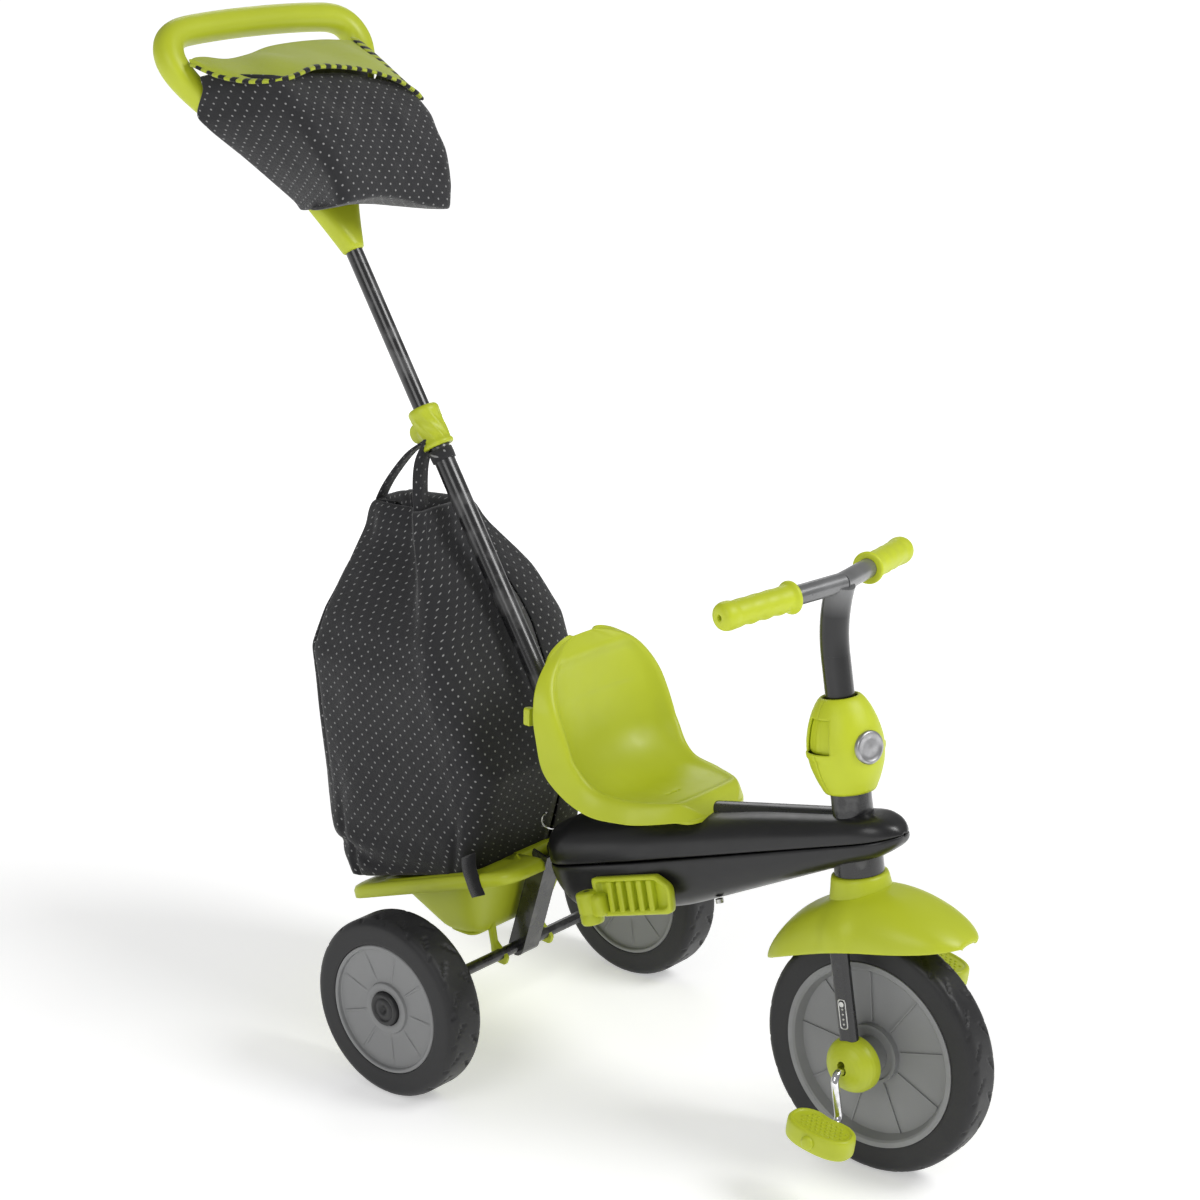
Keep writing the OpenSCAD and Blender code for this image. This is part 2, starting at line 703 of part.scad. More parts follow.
// Gap at the front of the basket round the leg and the rear of the body
module basket_notch() {
  at_leg() box([-leg_depth / 2 - 3, -leg_w / 2 - 3, -10], [120, leg_w / 2 + 3, 300]);
  at_basket() box([175, -53, -30], [320, 53, 60]);
}
module basket_rim() {
  difference() {
    linear_extrude(5) difference() {
      union() {
        translate([22, -basket_half]) square([basket_l - 22, 2 * basket_half]);
        translate([0, -basket_half + 22]) square([40, 2 * basket_half - 44]);
        for (side = [-1, 1]) translate([22, side * (basket_half - 22)]) circle(r = 22);
      }
      translate([55.6, -88.4]) square([108.8, 176.8]);
    }
  }
}
module basket() {
  color(lime) placed() {
    difference() {
      union() {
        tub(0);
        at_basket() basket_rim();
      }
      tub(3);
      at_basket() box([55.6, -88.4, -3], [164.4, 88.4, 20]);
      basket_notch();
    }
    for (side = [-1, 1]) difference() {
      translate([0, side * 36, 0]) box([rear_x - 18, -2.5, rear_r - 11], [rear_x + 12, 2.5, 130]);
      translate([rear_x, side * 36, rear_r]) along_y(axle_r + 0.3, -5, 5);
    }
  }
}

// ---- Pole and push handle ----

module lower_pole() {
  color(black) placed() at_pole() difference() {
    translate([0, 0, lower_pole_start]) cylinder(r = lower_pole_d / 2, h = lower_pole_end - lower_pole_start);
    translate([0, 0, upper_pole_start - pole_travel - 15]) cylinder(r = upper_pole_d / 2 + 0.3, h = lower_pole_end);
  }
}
module pole_collar() {
  color(lime) placed() at_pole() translate([0, 0, collar_z]) difference() {
    union() {
      cylinder(r = 15, h = 44);
      cylinder(r = 17, h = 5);
      translate([0, 0, 36]) cylinder(r = 16.5, h = 6);
      for (a = [0:30:330]) rotate([0, 0, a]) translate([14.6, 0, 5]) cylinder(r = 1.6, h = 31);
      translate([-17, 7, 22]) rotate([90, 0, 0]) cylinder(r = 9, h = 14);
    }
    translate([0, 0, -10]) cylinder(r = lower_pole_d / 2 + 0.3, h = lower_pole_end - collar_z + 10.4);
    translate([0, 0, -10]) cylinder(r = upper_pole_d / 2 + 0.3, h = 80);
  }
}
module upper_pole() {
  color(black) placed() at_pole() difference() {
    translate([0, 0, upper_pole_start]) cylinder(r = upper_pole_d / 2, h = socket_top - 8 - upper_pole_start);
    translate([0, 0, upper_pole_start - 1]) cylinder(r = upper_pole_d / 2 - 1.5, h = 400);
  }
}
module handle_socket() {
  color(lime) placed() at_pole() difference() {
    hull() {
      translate([0, 0, socket_z]) cylinder(r = 12, h = 2, $fn = 32);
      for (side = [-1, 1]) translate([0, side * 24, socket_top - 3]) cylinder(r = 12, h = 2, $fn = 32);
    }
    translate([0, 0, socket_z - 1]) cylinder(r = upper_pole_d / 2 + 0.02, h = socket_top - 7 - socket_z);
  }
}
// Straight round rod between two points
module rod(a, b, r) {
  d = b - a;
  translate(a) rotate([0, 0, atan2(d[1], d[0])]) rotate([0, atan2(norm([d[0], d[1]]), d[2]), 0])
    cylinder(r = r, h = norm(d));
}
module push_handle() {
  flat = [0, handle_half - 25, bar_top_z - 3];
  corner = [0, handle_half - 6, bar_top_z - 18];
  end = [0, handle_half, 858];
  ball = handle_r + 0.6;
  color(lime) placed() at_pole() {
    rod([0, -flat[1], flat[2]], flat, handle_r);
    for (side = [0, 1]) mirror([0, side, 0]) {
      translate(flat) sphere(r = ball);
      rod(flat, corner, handle_r);
      translate(corner) sphere(r = ball);
      rod(corner, end, handle_r);
      translate(end) sphere(r = ball);
      rod(end, [0, 25, socket_top + 8], arm_r - 2);
    }
    box([-arm_r + 2, -34, socket_top - 0.8], [arm_r - 2, 34, socket_top + 14]);
  }
}

// ---- Soft parts ----

module pouch() {
  color(black) placed() at_pole() hull() {
    box([17, -116, 819], [24, 116, 823]);
    box([17, -46, 700], [24, 46, 704]);
    box([76, -92, 786], [82, 92, 790]);
    box([84, -80, 716], [96, 80, 722]);
    box([62, -70, 668], [84, 70, 672]);
  }
}
module pouch_flap() {
  color(lime) placed() at_pole() hull() {
    box([16.5, -116, 858], [20, 116, 861]);
    box([84, -93, 794.5], [87, 93, 797]);
    box([17, -116, 830], [22, 116, 833]);
  }
}
// Sections of the storage bag:
// [height, rear x, front x, half-width at the rear, half-width at the front, rise of the middle]
bag_rings = [[147, -605, -440, 90, 100, 30], [200, -642, -432, 92, 104, 20],
             [290, -668, -414, 93, 107, 8], [390, -684, -452, 87, 110, 0],
             [435, -676, -482, 70, 111, 0], [480, -661, -514, 52, 94, 0],
             [523, -648, -556, 35, 66, 0], [545, -640, -572, 25, 44, 0]];
bag_n = 20;
function bag_point(ring, k) =
  let (a = 360 * (k + 0.5) / bag_n, c = cos(a), s = sin(a),
       mid = (ring[1] + ring[2]) / 2, half = (ring[2] - ring[1]) / 2,
       f = sign(c) * pow(abs(c), 0.45), w = ring[3] + (ring[4] - ring[3]) * (f + 1) / 2)
    [mid + half * f, w * sign(s) * pow(abs(s), 0.45), ring[0] + ring[5] * (f + 1)];
module storage_bag() {
  pts = [for (ring = bag_rings, k = [0:bag_n - 1]) bag_point(ring, k)];
  rows = len(bag_rings);
  skin = [for (i = [0:rows - 2], k = [0:bag_n - 1])
    let (m = (k + 1) % bag_n) [i * bag_n + k, (i + 1) * bag_n + k, (i + 1) * bag_n + m, i * bag_n + m]];
  color(black) placed() polyhedron(points = pts,
    faces = concat(skin, [[for (k = [0:bag_n - 1]) k],
                          [for (k = [bag_n - 1:-1:0]) (rows - 1) * bag_n + k]]), convexity = 4);
}
module bag_hang_strap() {
  color(black) placed() {
    at_pole() difference() {
      translate([0, 0, collar_z - 14]) cylinder(r = 14, h = 12);
      translate([0, 0, collar_z - 20]) cylinder(r = lower_pole_d / 2 + 0.3, h = 24);
    }
    for (side = [-1, 1]) hull() {
      translate([-606, side * 15.5, 592]) cube([3, 2, 12], center = true);
      translate([-632, side * 16, 549]) cube([12, 2, 3], center = true);
    }
  }
}
module bag_ties() {
  color(black) placed() for (side = [-1, 1]) at_basket() translate([150, side * (basket_half + 1.2), -8])
    translate([-9, -1, 0]) cube([18, 2, 34]);
}
module pole_lock_knob() {
  color(black) placed() at_body() translate([knob_u, 0, -1.8]) cylinder(r = 8.5, h = 30);
}
module knob_ring() {
  color(grey) placed() at_body() translate([knob_u, 0, 28.4]) rotate_extrude()
    translate([8.5, 0]) circle(r = 1.4);
}

main_frame();
rear_leg();
rear_axle();
axle_washers();
body_upper_shell();
body_lower_shell();
body_screws();
seat();
seat_bolts();
headset_cover_front();
headset_cover_rear();
headset_badge();
clutch_ring();
upper_headset_bush();
lower_headset_cup();
handlebar();
left_grip();
right_grip();
fork();
fork_rivets();
front_fender();
left_hub_cover();
right_hub_cover();
front_tyre();
left_front_rim();
right_front_rim();
pedal_crank();
left_pedal();
right_pedal();
left_rear_tyre();
right_rear_tyre();
left_rear_rim_outer();
right_rear_rim_outer();
left_rear_rim_inner();
right_rear_rim_inner();
left_hub_cap();
right_hub_cap();
left_footrest();
right_footrest();
footrest_pins();
basket();
lower_pole();
pole_collar();
upper_pole();
handle_socket();
push_handle();
pouch();
pouch_flap();
storage_bag();
bag_hang_strap();
bag_ties();
pole_lock_knob();
knob_ring();
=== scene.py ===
"""Child's push-along tricycle: the looks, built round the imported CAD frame."""
import json
import math

import bpy
import numpy as np
from mathutils import Matrix, Vector


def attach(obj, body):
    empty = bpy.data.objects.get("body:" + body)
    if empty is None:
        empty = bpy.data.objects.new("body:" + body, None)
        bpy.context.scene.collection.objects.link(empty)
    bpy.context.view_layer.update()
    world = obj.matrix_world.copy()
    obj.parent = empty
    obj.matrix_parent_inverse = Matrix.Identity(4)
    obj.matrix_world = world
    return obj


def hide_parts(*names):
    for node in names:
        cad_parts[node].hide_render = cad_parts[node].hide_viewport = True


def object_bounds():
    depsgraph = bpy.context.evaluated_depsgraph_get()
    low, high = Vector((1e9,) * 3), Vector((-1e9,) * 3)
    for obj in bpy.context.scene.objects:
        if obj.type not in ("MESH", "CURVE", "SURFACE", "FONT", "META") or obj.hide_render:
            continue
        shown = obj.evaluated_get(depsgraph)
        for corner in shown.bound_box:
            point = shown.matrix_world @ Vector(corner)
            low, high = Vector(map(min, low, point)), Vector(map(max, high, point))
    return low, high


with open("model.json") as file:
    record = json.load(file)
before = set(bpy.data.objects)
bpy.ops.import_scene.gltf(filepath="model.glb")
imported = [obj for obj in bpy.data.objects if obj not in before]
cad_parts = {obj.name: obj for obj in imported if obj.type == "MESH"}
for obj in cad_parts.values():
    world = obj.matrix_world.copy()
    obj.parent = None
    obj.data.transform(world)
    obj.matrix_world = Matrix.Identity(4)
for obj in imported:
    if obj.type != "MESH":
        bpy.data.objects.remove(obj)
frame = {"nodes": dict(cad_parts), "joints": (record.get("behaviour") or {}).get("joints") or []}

CAD_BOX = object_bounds()
JOINTS = {j["name"]: j for j in frame["joints"]}
PI = math.pi


# ---- Local frames: millimetres in, metres in the row frame out ----

class Axes:
    def __init__(self, origin, z):
        self.z = Vector(z).normalized()
        self.y = Vector((0, 1, 0))
        self.x = self.y.cross(self.z)
        self.o = Vector(origin)

    def __call__(self, x, y, z):
        return self.o + (self.x * x + self.y * y + self.z * z) / 1000

    def matrix(self, x=0, y=0, z=0):
        m = Matrix((self.x, self.y, self.z)).transposed().to_4x4()
        m.translation = self(x, y, z)
        return m


def through(z, pos, local):
    """The frame with that Z axis in which the row point pos has those local millimetres."""
    a = Axes(pos, z)
    a.o = a(-local[0], -local[1], -local[2])
    return a


FRONT_AXLE = Vector(JOINTS["front_wheel_spin"]["pos_m"])
REAR_AXLE = Vector(JOINTS["left_rear_spin"]["pos_m"])
TRIKE = Axes((FRONT_AXLE.x, 0, 0), (0, 0, 1))
STEER = Axes(FRONT_AXLE, JOINTS["fork_steer"]["axis"])
BODY = through(JOINTS["left_footrest_fold"]["axis"], Vector(JOINTS["left_footrest_fold"]["pos_m"]),
               (-352, 62, -40))
POLE = through(JOINTS["pole_slide"]["axis"], Vector(JOINTS["collar_turn"]["pos_m"]), (0, 0, 440))
TILT = math.radians(20)
BASKET = Axes((REAR_AXLE.x - 0.153, 0, 0.139), (-math.sin(TILT), 0, math.cos(TILT)))


# ---- Small numeric helpers ----

def lerp(a, b, t):
    return a + (b - a) * t


def table(x, rows):
    return float(np.interp(x, [r[0] for r in rows], [r[1] for r in rows]))


def smooth(x, lo, hi):
    t = min(1, max(0, (x - lo) / (hi - lo)))
    return t * t * (3 - 2 * t)


def spow(v, p):
    return math.copysign(abs(v) ** p, v)


def catmull(points, n):
    """A smooth open path through the points, n steps for each span."""
    p = [np.array(q, float) for q in points]
    p = [2 * p[0] - p[1]] + p + [2 * p[-1] - p[-2]]
    out = []
    for i in range(1, len(p) - 2):
        for k in range(n):
            t = k / n
            out.append(0.5 * (2 * p[i] + (p[i + 1] - p[i - 1]) * t
                              + (2 * p[i - 1] - 5 * p[i] + 4 * p[i + 1] - p[i + 2]) * t * t
                              + (3 * p[i] - p[i - 1] - 3 * p[i + 1] + p[i + 2]) * t ** 3))
    return out + [p[-2]]


def wobble(x, y, z, scale, seed=0):
    """Smooth, repeatable unevenness from -1 to 1."""
    a = math.sin(x / scale * 1.7 + seed) * math.cos(y / scale * 1.3 + 1.9 * seed)
    b = math.sin(z / scale * 1.1 + 2.3 * seed + 1.7 * a) * math.cos((x + y) / scale * 0.7 + seed)
    return 0.5 * (a + b)


# ---- Meshes ----

def mesh_object(name, verts, faces, uvs=None, smooth_faces=True):
    me = bpy.data.meshes.new(name)
    me.from_pydata([tuple(v) for v in verts], [], faces)
    if uvs is not None:
        layer = me.uv_layers.new(name="UVMap")
        flat = [c for f in faces for i in f for c in uvs[i]]
        layer.data.foreach_set("uv", flat)
    me.polygons.foreach_set("use_smooth", [smooth_faces] * len(me.polygons))
    me.update()
    ob = bpy.data.objects.new(name, me)
    bpy.context.scene.collection.objects.link(ob)
    return ob


def grid_faces(nu, nv, close_v=False, first=0, skip=None):
    out = []
    for i in range(nu - 1):
        for j in range(nv if close_v else nv - 1):
            if skip and skip(i, j):
                continue
            k = (j + 1) % nv
            out.append((first + i * nv + j, first + i * nv + k,
                        first + (i + 1) * nv + k, first + (i + 1) * nv + j))
    return out


def grid(name, rows, close_v=False, caps=False, skip=None, uv=None):
    nu, nv = len(rows), len(rows[0])
    verts = [p for r in rows for p in r]
    faces = grid_faces(nu, nv, close_v, 0, skip)
    if caps:
        faces.append(tuple(range(nv - 1, -1, -1)))
        faces.append(tuple((nu - 1) * nv + j for j in range(nv)))
    return mesh_object(name, verts, faces, uv)


def modify(ob, kind, **settings):
    m = ob.modifiers.new(kind.title(), kind)
    for k, v in settings.items():
        setattr(m, k, v)
    return m


def subdivide(ob, levels=1):
    modify(ob, "SUBSURF", levels=levels, render_levels=levels)
    return ob


def solidify(ob, mm, offset=-1.0, even=False):
    modify(ob, "SOLIDIFY", thickness=mm / 1000, offset=offset, use_even_offset=even)
    return ob


def autosmooth(ob, degrees=40):
    cos = math.cos(math.radians(degrees))
    me = ob.data
    sharp = {}
    for p in me.polygons:
        p.use_smooth = True
        for k in p.edge_keys:
            sharp.setdefault(k, []).append(p.normal)
    for e in me.edges:
        n = sharp.get(e.key, [])
        e.use_edge_sharp = len(n) == 2 and n[0].dot(n[1]) < cos
    return ob


def lathe(name, axes, profile, steps=96, axis="z", turn=None, skip=None, closed=False, swell=None):
    """profile is [radius, height] along the axis, in millimetres; swell(angle, r, h) changes a radius."""
    rows = []
    for r, h in profile:
        row = []
        for k in range(steps):
            a = 2 * PI * k / steps + (turn or 0)
            q = r if swell is None else swell(a, r, h)
            c, s = q * math.cos(a), q * math.sin(a)
            row.append(axes(c, s, h) if axis == "z" else axes(c, h, s))
        rows.append(row)
    if closed:
        rows.append(rows[0])
    if axis == "y":
        rows = [list(reversed(r)) for r in rows]
    verts = [p for r in rows[:-1] for p in r] if closed else [p for r in rows for p in r]
    n = len(rows) - (1 if closed else 0)
    faces = []
    for i in range(len(rows) - 1):
        for j in range(steps):
            if skip and skip(i, j):
                continue
            k, i2 = (j + 1) % steps, (i + 1) % n if closed else i + 1
            faces.append((i * steps + j, i * steps + k, i2 * steps + k, i2 * steps + j))
    return mesh_object(name, verts, faces)


def loft(name, sections, caps=True, uv=None):
    """Closed sections of equal length, each a list of row points."""
    return grid(name, sections, close_v=True, caps=caps, uv=uv)


def sweep(name, path, section, up=(0, 1, 0), caps=True, uvs=False):
    """Sweeps section(i, n) -> [(across, over)] in metres along path, with its 'across' near up."""
    p = [Vector(q) for q in path]
    n = len(p)
    rows, dist, uv = [], 0.0, []
    for i in range(n):
        t = (p[min(i + 1, n - 1)] - p[max(i - 1, 0)]).normalized()
        side = Vector(up[i] if hasattr(up[0], "__len__") else up)
        side = (side - t * side.dot(t)).normalized()
        over = t.cross(side)
        if i:
            dist += (p[i] - p[i - 1]).length
        sec = section(i, n)
        rows.append([p[i] + side * a + over * b for a, b in sec])
        uv += [(a, dist) for a, b in sec]
    return grid(name, rows, close_v=True, caps=caps, uv=uv if uvs else None)


def oval(ra, rb, steps=24, power=1.0):
    return [(ra * spow(math.cos(2 * PI * k / steps), power), rb * spow(math.sin(2 * PI * k / steps), power))
            for k in range(steps)]


def rounded(points, radius, n=5):
    """A closed 2D outline with round corners: points [(x, y)], radius one number or one for each corner."""
    out = []
    m = len(points)
    for i in range(m):
        p = np.array(points[i], float)
        a = np.array(points[i - 1], float) - p
        b = np.array(points[(i + 1) % m], float) - p
        la, lb = np.linalg.norm(a), np.linalg.norm(b)
        a, b = a / la, b / lb
        r = radius[i] if hasattr(radius, "__len__") else radius
        half = math.acos(max(-1, min(1, float(a @ b)))) / 2
        d = min(r / max(1e-6, math.tan(half)), la * 0.48, lb * 0.48)
        s, e = p + a * d, p + b * d
        for k in range(n + 1):
            t = k / n
            out.append(tuple((1 - t) ** 2 * s + 2 * t * (1 - t) * p + t * t * e))
    return out


def plate(name, axes_point, outline, z0, z1, edge=1.5, bevel_steps=3):
    """A solid plate with rolled edges; axes_point(x, y, z) places it."""
    out = np.array(outline, float)
    centre = out.mean(0)
    span = np.abs(out - centre).max(0)
    sections = []
    for k in range(bevel_steps + 1):
        a = PI / 2 * k / bevel_steps
        sections.append((edge * (1 - math.sin(a)), z0 + edge * (1 - math.cos(a))))
    for k in range(bevel_steps, -1, -1):
        a = PI / 2 * k / bevel_steps
        sections.append((edge * (1 - math.sin(a)), z1 - edge * (1 - math.cos(a))))
    rows = []
    for inset, z in sections:
        scale = 1 - inset / span
        rows.append([axes_point(*((q - centre) * scale + centre), z) for q in out])
    return loft(name, rows)


def ribbon(name, path, width, thick=0.0012, up=(0, 1, 0)):
    """A flat strap of that width, in metres, with a texture map in metres."""
    return sweep(name, path, lambda i, n: [(-width / 2, -thick / 2), (width / 2, -thick / 2),
                                           (width / 2, thick / 2), (-width / 2, thick / 2)], up, uvs=True)


# ---- Materials ----

class Nodes:
    def __init__(self, name):
        self.mat = bpy.data.materials.new(name)
        self.mat.use_nodes = True
        self.tree = self.mat.node_tree
        self.bsdf = self.tree.nodes["Principled BSDF"]

    def add(self, kind, inputs=None, **props):
        n = self.tree.nodes.new(kind)
        for k, v in props.items():
            setattr(n, k, v)
        for k, v in (inputs or {}).items():
            self.put(n.inputs[k], v)
        return n

    def put(self, socket, v):
        if isinstance(v, bpy.types.NodeSocket):
            self.tree.links.new(v, socket)
        else:
            socket.default_value = v

    def math(self, op, a, b=0.0, c=0.0):
        return self.add("ShaderNodeMath", {0: a, 1: b, 2: c}, operation=op).outputs[0]

    def noise(self, scale, detail=3.0, where=None, rough=0.5):
        n = self.add("ShaderNodeTexNoise", {"Scale": scale, "Detail": detail, "Roughness": rough})
        if where is not None:
            self.put(n.inputs["Vector"], where)
        return n.outputs["Fac"]

    def spread(self, v, lo, hi, a, b):
        return self.add("ShaderNodeMapRange", {0: v, 1: lo, 2: hi, 3: a, 4: b}).outputs[0]

    def mix(self, fac, a, b):
        n = self.add("ShaderNodeMix", data_type="RGBA")
        self.put(n.inputs[0], fac)
        self.put(n.inputs[6], a)
        self.put(n.inputs[7], b)
        return n.outputs[2]

    def bump(self, height, strength, distance, normal=None):
        n = self.add("ShaderNodeBump", {"Height": height, "Strength": strength, "Distance": distance})
        if normal is not None:
            self.put(n.inputs["Normal"], normal)
        return n.outputs["Normal"]

    def place(self):
        return self.add("ShaderNodeTexCoord").outputs["Object"]

    def edges(self, lo=0.52, hi=0.62):
        g = self.add("ShaderNodeNewGeometry").outputs["Pointiness"]
        return self.spread(g, lo, hi, 0.0, 1.0)


def rgb(r, g, b):
    return (r, g, b, 1.0)


def plastic(name, colour, rough, pale=1.18, grain=0.18, coat=0.0, worn=0.35):
    """Moulded plastic: slightly uneven colour and gloss, spark-eroded grain, and edges rubbed paler."""
    m = Nodes(name)
    at = m.place()
    big, mid = m.noise(9.0, 4.0, at), m.noise(70.0, 4.0, at)
    fine = m.noise(1500.0, 2.0, at)
    dark = rgb(*[c * 0.93 for c in colour])
    light = rgb(*[min(1, c * 1.05) for c in colour])
    base = m.mix(m.spread(big, 0.3, 0.7, 0, 1), dark, light)
    rub = m.math("MULTIPLY", m.edges(), m.spread(mid, 0.42, 0.62, 0.0, worn))
    m.put(m.bsdf.inputs["Base Color"], m.mix(rub, base, rgb(*[min(1, c * pale + 0.01) for c in colour])))
    m.put(m.bsdf.inputs["Roughness"], m.spread(mid, 0.25, 0.75, rough - 0.05, rough + 0.07))
    m.put(m.bsdf.inputs["Normal"], m.bump(fine, grain, 0.0002, m.bump(mid, 0.06, 0.0006)))
    m.bsdf.inputs["Coat Weight"].default_value = coat
    m.bsdf.inputs["Coat Roughness"].default_value = 0.12
    return m.mat


def paint(name, colour, rough, metallic=0.0, coat=0.35):
    """Powder-coated tube: faint orange peel under a clear gloss, dust in the low spots, chipped edges."""
    m = Nodes(name)
    at = m.place()
    peel, dust = m.noise(420.0, 2.0, at), m.noise(38.0, 5.0, at)
    base = m.mix(m.spread(dust, 0.45, 0.75, 0, 0.35), rgb(*colour), rgb(*[c * 1.5 + 0.004 for c in colour]))
    chip = m.math("MULTIPLY", m.edges(0.56, 0.66), m.spread(dust, 0.5, 0.6, 0.0, 0.35))
    m.put(m.bsdf.inputs["Base Color"], m.mix(chip, base, rgb(0.2, 0.2, 0.2)))
    m.put(m.bsdf.inputs["Roughness"], m.spread(dust, 0.3, 0.7, rough - 0.04, rough + 0.08))
    m.put(m.bsdf.inputs["Normal"], m.bump(peel, 0.12, 0.0003))
    m.bsdf.inputs["Metallic"].default_value = metallic
    m.bsdf.inputs["Coat Weight"].default_value = coat
    m.bsdf.inputs["Coat Roughness"].default_value = 0.1
    return m.mat


def metal(name, colour, rough, scratch=0.25):
    """Plated steel with fine rubbed lines and dulled patches."""
    m = Nodes(name)
    at = m.place()
    stretched = m.add("ShaderNodeMapping", {"Vector": at, "Scale": (60, 900, 900)}).outputs[0]
    lines, patch = m.noise(1.0, 3.0, stretched), m.noise(120.0, 4.0, at)
    m.put(m.bsdf.inputs["Base Color"], m.mix(m.spread(patch, 0.35, 0.7, 0, 1), rgb(*colour),
                                             rgb(*[c * 0.72 for c in colour])))
    m.put(m.bsdf.inputs["Roughness"], m.spread(patch, 0.3, 0.7, rough, rough + 0.16))
    m.put(m.bsdf.inputs["Normal"], m.bump(lines, scratch, 0.0001))
    m.bsdf.inputs["Metallic"].default_value = 1.0
    return m.mat


def foam(name):
    """Moulded foam tyre: dull charcoal, fine closed-cell skin, dustier at the tread."""
    m = Nodes(name)
    at = m.place()
    cells, patch = m.noise(900.0, 3.0, at), m.noise(30.0, 4.0, at)
    speck = m.noise(2600.0, 1.0, at)
    base = m.mix(m.spread(patch, 0.35, 0.7, 0, 1), rgb(0.013, 0.013, 0.014), rgb(0.022, 0.022, 0.023))
    base = m.mix(m.spread(speck, 0.66, 0.74, 0, 0.2), base, rgb(0.12, 0.12, 0.12))
    m.put(m.bsdf.inputs["Base Color"], base)
    m.put(m.bsdf.inputs["Roughness"], m.spread(patch, 0.3, 0.7, 0.4, 0.55))
    m.put(m.bsdf.inputs["Normal"], m.bump(cells, 0.3, 0.0003))
    m.bsdf.inputs["Specular IOR Level"].default_value = 0.4
    return m.mat


def weave_bump(m, uv, pitch):
    """Height of a plain weave with that thread pitch in metres, over a texture map in metres."""
    part = m.add("ShaderNodeSeparateXYZ", {0: uv})
    k = 2 * PI / pitch
    a = m.math("SINE", m.math("MULTIPLY", part.outputs[0], k))
    b = m.math("SINE", m.math("MULTIPLY", part.outputs[1], k))
    return m.math("MAXIMUM", m.math("MULTIPLY", a, b), m.math("MULTIPLY", m.math("MULTIPLY", a, b), -0.7))


def cloth(name, colour, dots=None, pitch=0.0009, slub=0.4):
    """Woven cloth. dots is (pitch of the dots, radius, colour), printed in a staggered grid."""
    m = Nodes(name)
    uv = m.add("ShaderNodeUVMap", uv_map="UVMap").outputs[0]
    at = m.place()
    weave = weave_bump(m, uv, pitch)
    stripe = m.add("ShaderNodeMapping", {"Vector": uv, "Scale": (160, 2400, 1)}).outputs[0]
    thread, patch = m.noise(1.0, 2.0, stripe), m.noise(26.0, 4.0, at)
    dark, light = rgb(*[c * 0.75 for c in colour]), rgb(*[c * 1.3 for c in colour])
    # Colour follows the weave's height: painted shade in the low points between the threads and painted highlight on
    # their crowns.
    base = m.mix(m.spread(weave, -0.6, 0.9, 0, 1), dark, light)
    base = m.mix(m.math("MULTIPLY", m.spread(thread, 0.4, 0.7, 0, slub), m.spread(patch, 0.3, 0.7, 0.4, 1)),
                 base, light)
    if dots:
        step, radius, ink = dots
        fine = m.noise(900.0, 2.0, at)
        near = []
        for shift in (0.0, 0.5):
            cell = m.add("ShaderNodeVectorMath", {0: uv, 1: (1 / step, 1 / step, 0), 2: (shift, shift, 0)},
                         operation="MULTIPLY_ADD").outputs[0]
            cell = m.add("ShaderNodeVectorMath", {0: cell}, operation="FRACTION").outputs[0]
            cell = m.add("ShaderNodeVectorMath", {0: cell, 1: (0.5, 0.5, 0)}, operation="SUBTRACT").outputs[0]
            near.append(m.add("ShaderNodeVectorMath", {0: cell}, operation="LENGTH").outputs["Value"])
        d = m.math("MULTIPLY", m.math("MINIMUM", near[0], near[1]), step)
        d = m.math("ADD", d, m.math("MULTIPLY", m.math("SUBTRACT", fine, 0.5), radius * 0.5))
        base = m.mix(m.spread(d, radius * 0.75, radius * 1.1, 0.92, 0.0), base, rgb(*ink))
    m.put(m.bsdf.inputs["Base Color"], base)
    m.put(m.bsdf.inputs["Roughness"], m.spread(patch, 0.3, 0.7, 0.72, 0.86))
    crease = m.noise(34.0, 5.0, at, 0.6)
    m.put(m.bsdf.inputs["Normal"], m.bump(weave, 0.5, 0.0002, m.bump(crease, 0.35, 0.004)))
    m.bsdf.inputs["Sheen Weight"].default_value = 0.25
    m.bsdf.inputs["Sheen Roughness"].default_value = 0.45
    m.bsdf.inputs["Specular IOR Level"].default_value = 0.25
    return m.mat


LIME_RGB = (0.50, 0.57, 0.022)
M = {
    "lime": plastic("lime_plastic", LIME_RGB, 0.40),
    "soft_lime": plastic("lime_soft_plastic", (0.56, 0.64, 0.02), 0.46, grain=0.3),
    "gloss_black": plastic("body_black", (0.010, 0.010, 0.011), 0.34, pale=2.2, grain=0.05, coat=0.08),
    "black": plastic("black_plastic", (0.018, 0.018, 0.019), 0.42, pale=2.2),
    "grey": plastic("rim_grey", (0.235, 0.238, 0.24), 0.42, pale=1.3),
    "tube": paint("frame_black", (0.012, 0.012, 0.013), 0.26),
    "steel": metal("zinc_steel", (0.62, 0.62, 0.60), 0.26),
    "chrome": metal("chrome", (0.82, 0.82, 0.83), 0.08, 0.1),
    "foam": foam("foam_tyre"),
    "dots": cloth("dotted_cloth", (0.022, 0.022, 0.024), (0.0128, 0.00110, (0.30, 0.30, 0.30))),
    "green_cloth": cloth("lime_cloth", (0.38, 0.44, 0.035), slub=0.5),
    "black_tape": cloth("black_tape", (0.014, 0.014, 0.015), pitch=0.0007),
    "lining": cloth("black_lining", (0.008, 0.008, 0.009), pitch=0.0007),
    "silver": metal("badge_silver", (0.46, 0.46, 0.47), 0.3, 0.15),
    # painted shade: near-black plastic for the discs that fill the grips' end holes
    "dark": plastic("painted_shade_hole", (0.006, 0.006, 0.006), 0.6, pale=1.5),
}


